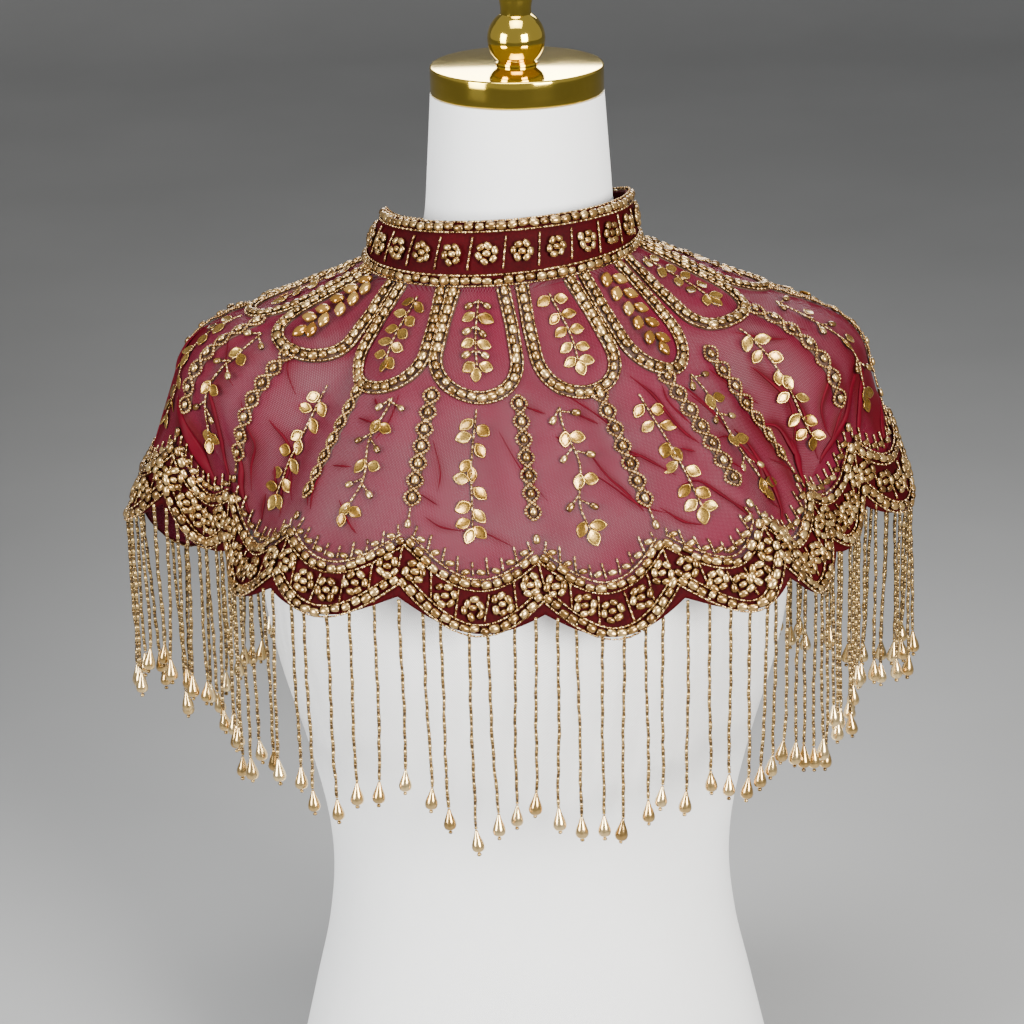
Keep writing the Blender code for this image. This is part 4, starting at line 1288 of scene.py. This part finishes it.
# the creases move the cloth, and everything on it follows
UU, SS = np.meshgrid(U_FINE, S_ROWS, indexing="ij")
LIFT, _ = creases(UU, SS)
P_SURF = P_SURF + N_SURF * LIFT[..., None]
N_RAW, D_SURF, MU_SURF, MS_SURF = surface_frames(P_SURF)
for _ in range(3):                       # bead seats ignore the finest creases
    N_RAW = (np.roll(N_RAW, 2, 0) + N_RAW + np.roll(N_RAW, -2, 0)) / 3.0
N_SURF = unit(N_RAW)

SLIT = 8.5                               # back opening of the net, cm


def build_net():
    front = np.linspace(-98.0, 98.0, 500, endpoint=False)
    us = np.concatenate([np.linspace(-180.0, -98.0, 84, endpoint=False), front,
                         np.linspace(98.0, 180.0, 85)])
    rows = 132
    v = np.linspace(0.0, 1.0, rows)
    edge = scallop(us, 18.95, 20.20)
    U = np.repeat(us[:, None], rows, 1)
    S = 0.12 + (edge - 0.12)[:, None] * v[None, :]
    P = lookup(P_SURF, U, S)
    _, dark = creases(U, S)
    # part the two edges of the back opening
    part = np.clip((SLIT - S) / 1.0, 0, 1) * 0.0014
    P[0, :, 0] -= part[0]
    P[-1, :, 0] += part[-1]
    # the top edge is tucked inside the collar
    Q, _, _, inward = collar_place(us, np.full(len(us), 0.975))
    P[:, 0] = Q - inward * 0.0021
    nu = len(us)
    idx = np.arange(nu * rows).reshape(nu, rows)
    quads = np.stack([idx[:-1, :-1], idx[:-1, 1:], idx[1:, 1:], idx[1:, :-1]], axis=-1).reshape(-1, 4)
    uv = flat_mm(U, S).reshape(-1, 2) / 1000.0
    # below the opening the cloth is whole: its first and last columns are one
    verts = P.reshape(-1, 3)
    first_whole = int(np.argmax(S[0] > SLIT))
    remap = np.arange(nu * rows)
    for j in range(first_whole, rows):
        remap[idx[-1, j]] = idx[0, j]
    quads = remap[quads]
    used = np.unique(quads)
    new = np.full(nu * rows, -1)
    new[used] = np.arange(len(used))
    obj = mesh_object("net_body", verts[used], [new[quads]], MATS["net"],
                      attrs={"fold": dark.reshape(-1)[used]}, uv=uv[used])
    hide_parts("cape_net")

    folds = Strips()
    for core, soft, rise, shade, points in FOLDS:
        if core == 0.0:
            continue
        u, s = fold_line(points)
        Q, _, _, N = place(u, s)
        t = np.linspace(0.0, 1.0, len(u))
        body = np.sin(np.pi * np.clip(0.03 + 0.94 * t, 0, 1)) ** 0.6
        swell = body * (1.0 + 0.18 * np.sin(11.0 * t + points[0][0]))
        folds.add(Q, N, 1.35 * core * swell, min(0.25 + core * 0.26, 1.0) * body, -0.0001)
    ridge = folds.build("net_folds", MATS["double"])
    return obj, ridge


def upper_line(u):
    return scallop(u, 15.55, 17.55)


def lower_line(u):
    return scallop(u, 17.80, 20.15)


def build_hem_cloth():
    us = np.arange(-180.0, 180.0, 0.5)
    rows = 13
    top = scallop(us, 15.70, 17.50)
    low = scallop(us, 19.00, 20.34)
    v = np.linspace(0, 1, rows)
    U = np.repeat(us[:, None], rows, 1)
    S = top[:, None] + (low - top)[:, None] * v
    P, A, D, N = place(U, S)
    P = P + N * 0.0010
    nu = len(us)
    idx = np.arange(nu * rows).reshape(nu, rows)
    nxt = np.roll(idx, -1, 0)
    quads = np.stack([idx[:, :-1], idx[:, 1:], nxt[:, 1:], nxt[:, :-1]], axis=-1).reshape(-1, 4)
    obj = mesh_object("hem_cloth", P.reshape(-1, 3), [quads], MATS["velvet"])
    mod = obj.modifiers.new("wall", "SOLIDIFY")
    mod.thickness = 0.0008
    mod.offset = 1.0
    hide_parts("hem_band")
    return obj


# --------------------------------------------------------- border of the hem
BAND_LIFT = 0.0016


def build_border():
    ovals, bugles = Beads(), Beads()
    for line in (upper_line, lower_line):
        for k in range(SCALLOPS):
            u = np.linspace(-180.0 + 20.0 * k + 0.15, -160.0 + 20.0 * k - 0.15, 160)
            bordered_row(ovals, bugles, u, line(u), lift=BAND_LIFT, gap=3.1, pitch=6.0,
                         size=(5.8, 4.8, 3.1))
    # five cells in each scallop
    for k in range(SCALLOPS):
        u0 = -180.0 + 20.0 * k
        for c in range(5):
            u = u0 + 4.0 * c + 2.0
            hi, lo = float(upper_line(u)), float(lower_line(u))
            rosette(ovals, u + RNG.normal(0, 0.10), 0.5 * (hi + lo) + RNG.normal(0, 0.04),
                    turn=RNG.uniform(0, 60), reach=4.8, size=(5.1, 4.1, 3.0), lift=BAND_LIFT)
        for c in range(5):
            u = u0 + 4.0 * c
            hi, lo = float(upper_line(u)) + 0.48, float(lower_line(u)) - 0.46
            if hi < lo:
                s = np.linspace(hi, lo, 16)
                bugle_row(bugles, u + RNG.normal(0, 0.25) + np.linspace(-1, 1, 16) * RNG.normal(0, 0.15),
                          s, pitch=3.6, lift=BAND_LIFT)
        # short spokes above, with an oval between each two
        for c in range(9):
            u = u0 + (c + 0.5) * 20.0 / 9.0
            near = 1.0 if 0 < c < 8 else 0.62
            top = float(upper_line(u))
            length = 0.90 * near + RNG.normal(0, 0.06)
            s = np.linspace(top - 0.50 - length, top - 0.50, 8)
            bugle_row(bugles, u + np.linspace(RNG.normal(0, 0.10) + (4.0 - c) * 0.09, 0, 8), s, pitch=3.4)
            if c < 8:
                um = u + 10.0 / 9.0
                tm = float(upper_line(um))
                P, A, D, N = place(np.array([um]), np.array([tm - 0.74 + RNG.normal(0, 0.05)]))
                slope = (float(upper_line(um + 0.4)) - float(upper_line(um - 0.4))) / 0.8
                long = A * 0.19 + D * slope * 0.6 * 0.1
                ovals.add(OVAL, P, unit(long + D * RNG.normal(0, 0.04)), N, (5.0, 3.6, 2.8),
                          SKIN + 1.3 * MM)
        # one upright oval above each cusp
        P, A, D, N = place(np.array([u0]), np.array([15.55 - 0.86]))
        ovals.add(OVAL, P, D, N, (5.0, 3.8, 2.9), SKIN + 1.3 * MM)
    a = ovals.build("border_ovals", MATS["bead"])
    b = bugles.build("border_bugles", MATS["bugle"])
    return a, b


# ------------------------------------------------------------ the yoke loops
# centre angle and filling: stones, or a leaf spray
LOOPS = [(-149.0, "leaf"), (-120.0, "leaf"), (-91.0, "leaf"), (-62.5, "stone"), (-35.5, "leaf"),
         (-10.0, "spray"), (18.0, "leaf"), (45.5, "stone"), (74.0, "leaf"), (101.0, "spray"),
         (127.0, "leaf"), (153.0, "stone")]


def loop_line(centre, half=11.2, top=0.0, turn=4.1, bottom=6.6):
    side = np.linspace(top, turn, 60)
    psi = np.linspace(0, math.pi, 90)[1:-1]
    widen = 0.90 + 0.10 * np.clip((side - top) / 2.2, 0, 1)
    u = np.concatenate([centre - half * widen, centre - half * np.cos(psi),
                        centre + (half * widen)[::-1]])
    s = np.concatenate([side, turn + (bottom - turn) * np.sin(psi), side[::-1]])
    return u, s


def leaf(beads, u, s, angle, length=9.4, width=7.0, out=0.0):
    """One leaf sequin; angle turns its tip from straight down towards +u."""
    P, A, D, N = (v[0] for v in place(np.array([u]), np.array([s])))
    a = math.radians(angle)
    tip = D * math.cos(a) + A * math.sin(a)
    tilt = unit(N + tip * RNG.normal(0.05, 0.12) + np.cross(N, tip) * RNG.normal(0, 0.16))
    centre = P + tip * (out + length * 0.5) * MM
    size = (length * (1 + RNG.normal(0, 0.05)), width * (1 + RNG.normal(0, 0.06)), 3.6)
    beads.add(LEAF, centre, tip, tilt, size, SKIN + 0.9 * MM, spread=0.4)


def stalk(bugles, ovals, u, s, angle, pieces=2):
    """A short branch of bugles with a small oval at its end."""
    P, A, D, N = (v[0] for v in place(np.array([u]), np.array([s])))
    a = math.radians(angle)
    way = D * math.cos(a) + A * math.sin(a)
    for k in range(pieces):
        bugles.add(BUGLE, P + way * (2.2 + 2.7 * k) * MM, way, N, (2.6, 1.2, 1.2), SKIN + 0.6 * MM)
    ovals.add(OVAL, P + way * (2.2 + 2.7 * pieces + 1.3) * MM, way, N, (5.0, 4.0, 2.8),
              SKIN + 1.2 * MM)


def stem(bugles, u, s, pitch=2.9):
    bugle_row(bugles, u, s, pitch=pitch, size=(2.7, 1.2, 1.2))


# Branches of the two kinds of vine: share of its length, leaf or stalk, angle
# from straight down of the branch to -u and of the one to +u.
VINES = {
    "leafy": [(0.10, "leaf", -58, 50), (0.25, "leaf", -80, 45), (0.44, "leaf", -35, 10),
              (0.63, "leaf", -85, 45), (0.81, "leaf", -60, 40), (0.95, "leaf", -70, 50)],
    "branched": [(0.00, "stalk", -40, 75), (0.20, "leaf", -15, 75), (0.33, "stalk", -48, 60),
                 (0.55, "leaf", -15, 75), (0.72, "stalk", -48, 50), (0.93, "leaf", -15, 70)],
}


def vine(parts, u0, s0, s1, kind, lean=0.0):
    """A hanging spray: a swaying stem with the branches of its kind."""
    leaves, bugles, ovals = parts
    n = 40
    t = np.linspace(0, 1, n)
    s = s0 + (s1 - s0) * t
    plain = kind == "leafy"
    u = u0 + (0.35 if plain else 0.80) * np.sin(t * (5.0 if plain else 9.0) + u0) + lean * t
    stem(bugles, u, s)
    at = lambda w: (float(np.interp(w, t, u)), float(np.interp(w, t, s)))
    for share, what, left, right in VINES[kind]:
        uc, sc = at(share + RNG.normal(0, 0.006))
        ur, sr = at(min(share + 0.035, 1.0))
        if what == "leaf":
            leaf(leaves, uc, sc - 0.12, left + RNG.normal(0, 6), out=0.9)
            leaf(leaves, ur, sr, right + RNG.normal(0, 6), out=0.8)
        else:
            stalk(bugles, ovals, uc, sc, left + RNG.normal(0, 5))
            stalk(bugles, ovals, ur, sr, right + RNG.normal(0, 5))
    uc, sc = at(1.0)
    leaf(leaves, uc, sc, (-20 if plain else 0) + RNG.normal(0, 6), out=0.2)


def bed(strips, u, s, width, height=0.7, step=3.0):
    """Brown couching thread under a bead row, also painted shade in the gaps between its beads."""
    P, T, N = run_along(u, s, step)
    strips.add(P, N, width, height, -0.0001)


def build_ornament():
    ovals, bugles, seeds = Beads(), Beads(), Beads()
    leaves, stones, beds = Beads(), Beads(), Strips()
    for centre, kind in LOOPS:
        u, s = loop_line(centre)
        bordered_row(ovals, bugles, u, s, gap=3.2, pitch=5.6, size=(5.3, 4.7, 3.1))
        bed(beds, u, s, 8.2)
        if kind == "stone":
            for k in range(5):
                for side in (-1, 1):
                    P, A, D, N = (v[0] for v in place(np.array([centre]),
                                                      np.array([0.48 + 0.15 * side + 0.95 * k])))
                    a = math.radians(46 + RNG.normal(0, 4))
                    tip = D * math.cos(a) + A * math.sin(a) * side
                    stones.add(STONE, P + tip * 6.3 * MM, tip, N, (10.8, 7.6, 4.4),
                               SKIN + 1.9 * MM, spread=0.5)
            P, A, D, N = (v[0] for v in place(np.array([centre]), np.array([5.42])))
            stones.add(STONE, P, D, N, (10.8, 7.8, 4.4), SKIN + 1.9 * MM)
            continue
        first, last = 0.7, 4.75
        t = np.linspace(0, 1, 30)
        sway = 0.9 if kind == "leaf" else 0.5
        su = centre + sway * np.sin(t * 4 + centre)
        sv = first + (last - first) * t
        stem(bugles, su, sv)
        at = lambda w: (float(np.interp(w, t, su)), float(np.interp(w, t, sv)))
        if kind == "leaf":
            rows = [(w, "leaf") for w in (0.06, 0.29, 0.52, 0.75, 0.95)]
        else:
            rows = [(0.02, "stalk"), (0.22, "leaf"), (0.40, "stalk"), (0.60, "leaf"), (0.76, "stalk"),
                    (0.95, "leaf")]
        for w, what in rows:
            uc, sc = at(w)
            if what == "leaf":
                leaf(leaves, uc, sc - 0.05, -66 + RNG.normal(0, 8), 8.4, 6.4, out=0.7)
                leaf(leaves, uc, sc + 0.10, 66 + RNG.normal(0, 8), 8.4, 6.4, out=0.7)
            else:
                stalk(bugles, ovals, uc, sc, -55 + RNG.normal(0, 6), 1)
                stalk(bugles, ovals, uc, sc, 55 + RNG.normal(0, 6), 1)
        leaf(leaves, float(su[-1]), last, RNG.normal(0, 8), 8.4, 6.4, out=0.3)

    # chains on the cusps' lines and vines between them
    for k in range(18):
        u0 = -180.0 + 20.0 * k
        first, pitch = (9.2 if abs(u0) == 180.0 else 6.35), 1.04
        count = 5 if abs(u0) == 180.0 else 7
        t = np.linspace(0, count * math.pi, count * 30)
        s = first + pitch * t / math.pi
        bed(beds, np.full_like(s, u0), s, 6.4, 0.5)
        for sign in (-1, 1):
            off_u, off_s = shift(np.full_like(s, u0), s, sign * 4.3 * np.sin(t), 0.0)
            P, T, N = run_along(off_u, off_s, 1.80, wobble=0.10)
            seeds.add(SEED, P, T, N, (2.0, 2.0, 1.7), SKIN + 0.9 * MM)
        mid = first + pitch * (np.arange(count) + 0.5)
        P, A, D, N = place(np.full(count, u0), mid)
        ovals.add(OVAL, P, D, N, (4.6, 4.2, 3.1), SKIN + 1.5 * MM)
        if k % 2 == 0:
            end = np.linspace(first + pitch * count + 0.05, first + pitch * count + 0.75, 6)
            bugle_row(bugles, np.full_like(end, u0), end, pitch=3.4)

        u1 = u0 + 10.0
        first = 7.15 + RNG.normal(0, 0.1)
        vine((leaves, bugles, ovals), u1, first, 14.2, "leafy" if k % 2 == 0 else "branched",
             lean=RNG.normal(0, 0.4))

    # small sprays beside the back opening, and its edging
    for side in (-1, 1):
        s = np.linspace(0.5, SLIT, 60)
        u = side * (180.0 - 3.0 / (1 + 0.10 * s) * 0.9)
        bugle_row(bugles, u, s)
        vine((leaves, bugles, ovals), side * 171.0, 1.2, 6.6, "branched")

    out = []
    for beads, name, mat in ((ovals, "yoke_ovals", "bead"), (bugles, "yoke_bugles", "bugle"),
                             (seeds, "chain_seeds", "seed"), (leaves, "leaf_sequins", "leaf"),
                             (stones, "yoke_stones", "stone")):
        o = beads.build(name, MATS[mat])
        out.append(o)
    out.append(beds.build("thread_beds", MATS["bed"]))
    return out


# ------------------------------------------------------------------- fringe
DROP = [(0.0, 6.1), (0.55, 5.9), (0.80, 5.2), (1.15, 3.9), (1.75, 2.1), (2.55, 0.1),
        (3.15, -1.9), (3.30, -3.3), (2.95, -4.6), (2.05, -5.4), (0.0, -5.8)]


def build_fringe():
    strings, drops = Beads(), Beads()
    steps = 14
    v, f = lathe([(r * MM, z * MM) for r, z in DROP], steps)
    # lathe's axis is z; as a bead its long axis is x and it is in unit size
    long = 11.9 * MM
    full = 13.6
    # the drop's top, where it is drilled under the seed bead, is darkened as painted shade
    body = (np.column_stack([v[:, 2] / long, v[:, 0] / long, v[:, 1] / long]),
            np.clip((v[:, 2] - 4.0 * MM) / (2.0 * MM), 0, 1) * 0.5, f)
    body = outward(body)
    count = 116
    for k in range(count):
        u = -180.0 + 360.0 * (k + 0.5 + RNG.uniform(-0.16, 0.16)) / count
        top_s = max(float(lower_line(u)) + 0.10, 19.15)
        P, A, D, N = (x[0] for x in place(np.array([u]), np.array([top_s])))
        start = P + N * 2.0 * MM
        total = curve(FRINGE_LENGTHS, 1, u, 360.0) * CM
        total = total * (1.0 + np.clip(RNG.normal(-0.02, 0.045), -0.09, 0.05)) - 0.0165
        pitch = 3.45 * MM
        n = int(total / pitch)
        z = -np.arange(n + 1) * pitch
        t = np.linspace(0, 1, n + 1)
        lean = RNG.normal(0, 1.6, 2) * MM
        phase = RNG.uniform(0, 6.28, 4)
        kink = np.stack([
            lean[0] * t ** 1.4 + 0.55 * MM * np.sin(7.0 * t + phase[0]) * t
            + 0.16 * MM * np.sin(31.0 * t + phase[1]) + 0.07 * MM * RNG.standard_normal(n + 1),
            lean[1] * t ** 1.4 + 0.45 * MM * np.sin(6.0 * t + phase[2]) * t
            + 0.16 * MM * np.sin(27.0 * t + phase[3]) + 0.07 * MM * RNG.standard_normal(n + 1), z],
            axis=1)
        pts = start + kink
        mid = 0.5 * (pts[1:] + pts[:-1])
        way = unit(pts[1:] - pts[:-1])
        turn = RNG.uniform(0, 6.28, n)
        ref = np.stack([np.cos(turn), np.sin(turn), np.zeros(n)], axis=1)
        shade = np.where(np.arange(n) % 2, 0.10, 0.70) + RNG.uniform(-0.10, 0.10, n)
        strings.add(BUGLE, mid, way, np.cross(way, ref), (3.25, 2.10, 2.05), shade=shade)
        tip = pts[-1]
        sway = unit(np.array([RNG.normal(0, 0.06), RNG.normal(0, 0.06), -1.0]))
        flat = unit(np.cross(sway, [RNG.normal(), RNG.normal(), 0.1]))
        strings.add(SEED, tip + sway * 0.9 * MM, sway, flat, (2.0, 2.2, 2.2))
        drops.add(body, tip + sway * (2.0 + full * 0.5) * MM, -sway, flat, (full, full, full), spread=0.5)
        strings.add(SEED, tip + sway * (3.3 + full) * MM, sway, flat, (2.4, 2.6, 2.6))
    a = strings.build("fringe_strings", MATS["string"])
    b = drops.build("fringe_drops", MATS["drop"], smooth=True)
    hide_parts("fringe")
    return a, b


# ---------------------------------------------------------------- the scene
def build_stage():
    mesh = bpy.data.meshes.new("floor")
    # a floor that sweeps up into a backdrop
    rows = [(-4.0, 0.0), (3.2, 0.0)] + [(3.2 + 1.2 * math.sin(q), 1.2 - 1.2 * math.cos(q))
                                        for q in np.linspace(0.1, math.pi / 2, 12)] + [(4.4, 4.0)]
    verts, faces = [], []
    for y, z in rows:
        verts += [(-6.0, y, z - 0.0005), (6.0, y, z - 0.0005)]
    for k in range(len(rows) - 1):
        faces.append((2 * k, 2 * k + 1, 2 * k + 3, 2 * k + 2))
    mesh.from_pydata(verts, [], faces)
    mesh.shade_smooth()
    floor = bpy.data.objects.new("floor", mesh)
    COL.objects.link(floor)
    m = Nodes("floor_grey", (0.5, 0.5, 0.5))
    m.link(m.ramp(m.noise(3.0, 3.0), [(0.3, (0.345, 0.345, 0.342)), (0.7, (0.372, 0.372, 0.369))]),
           m.bsdf.inputs["Base Color"])
    m.set("Roughness", 0.8)
    mesh.materials.append(m.mat)

    def soft(name, place_at, aim, size, power, colour=(1, 1, 1), spread=120.0):
        data = bpy.data.lights.new(name, "AREA")
        data.shape = "RECTANGLE"
        data.size, data.size_y = size
        data.energy = power
        data.spread = math.radians(spread)
        data.color = colour
        obj = bpy.data.objects.new(name, data)
        COL.objects.link(obj)
        obj.location = place_at
        way = Vector(aim) - Vector(place_at)
        obj.rotation_euler = way.to_track_quat("-Z", "Y").to_euler()

    soft("key_window", (1.15, -1.75, 0.98), (0, 0, 0.42), (0.9, 1.0), 20.5, (1.0, 0.985, 0.96), 70.0)
    soft("side_window", (-1.55, -1.15, 0.86), (0, 0, 0.40), (0.8, 1.1), 12, (0.96, 0.98, 1.0), 70.0)
    soft("top_soft", (0.0, -0.45, 1.75), (0, 0.0, 0.5), (0.9, 0.7), 4.5, (1, 1, 1), 70.0)
    soft("back_soft", (0.2, 2.3, 1.55), (0, 0.0, 0.66), (2.0, 0.6), 7.0, (1, 1, 1), 60.0)

    world = bpy.data.worlds.new("room")
    bpy.context.scene.world = world
    world.use_nodes = True
    back = world.node_tree.nodes["Background"]
    back.inputs["Color"].default_value = (0.80, 0.81, 0.82, 1.0)
    back.inputs["Strength"].default_value = 0.41


def build_camera():
    data = bpy.data.cameras.new("camera")
    data.sensor_fit = "HORIZONTAL"
    data.sensor_width = 36.0
    data.lens = 3300.0 / 1024.0 * 36.0
    data.clip_start, data.clip_end = 0.05, 30.0
    cam = bpy.data.objects.new("camera", data)
    bpy.context.scene.collection.objects.link(cam)
    pitch = math.radians(19.9)
    dist = 1.96
    cam.location = (-0.0078, -dist * math.cos(pitch), BASE_Z + dist * math.sin(pitch))
    turn = Euler((math.pi / 2 - pitch, 0, 0)).to_matrix() @ Matrix.Rotation(-math.radians(1.159), 3, "Z")
    cam.rotation_euler = turn.to_euler()
    bpy.context.scene.camera = cam


def main():
    build_camera()
    build_stage()
    form = build_form()
    collar = build_collar()
    net, folds = build_net()
    hem = build_hem_cloth()
    border = build_border()
    ornament = build_ornament()
    fringe = build_fringe()

    # the closure behind keeps its solids, with better materials
    for name, mat, slot in (("button_upper", "drop", None), ("button_lower", "drop", None),
                            ("loop_upper", "cord", None), ("loop_lower", "cord", None)):
        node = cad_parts[name]
        for k in range(max(1, len(node.material_slots))):
            if node.material_slots:
                node.material_slots[k].material = MATS[mat]


main()
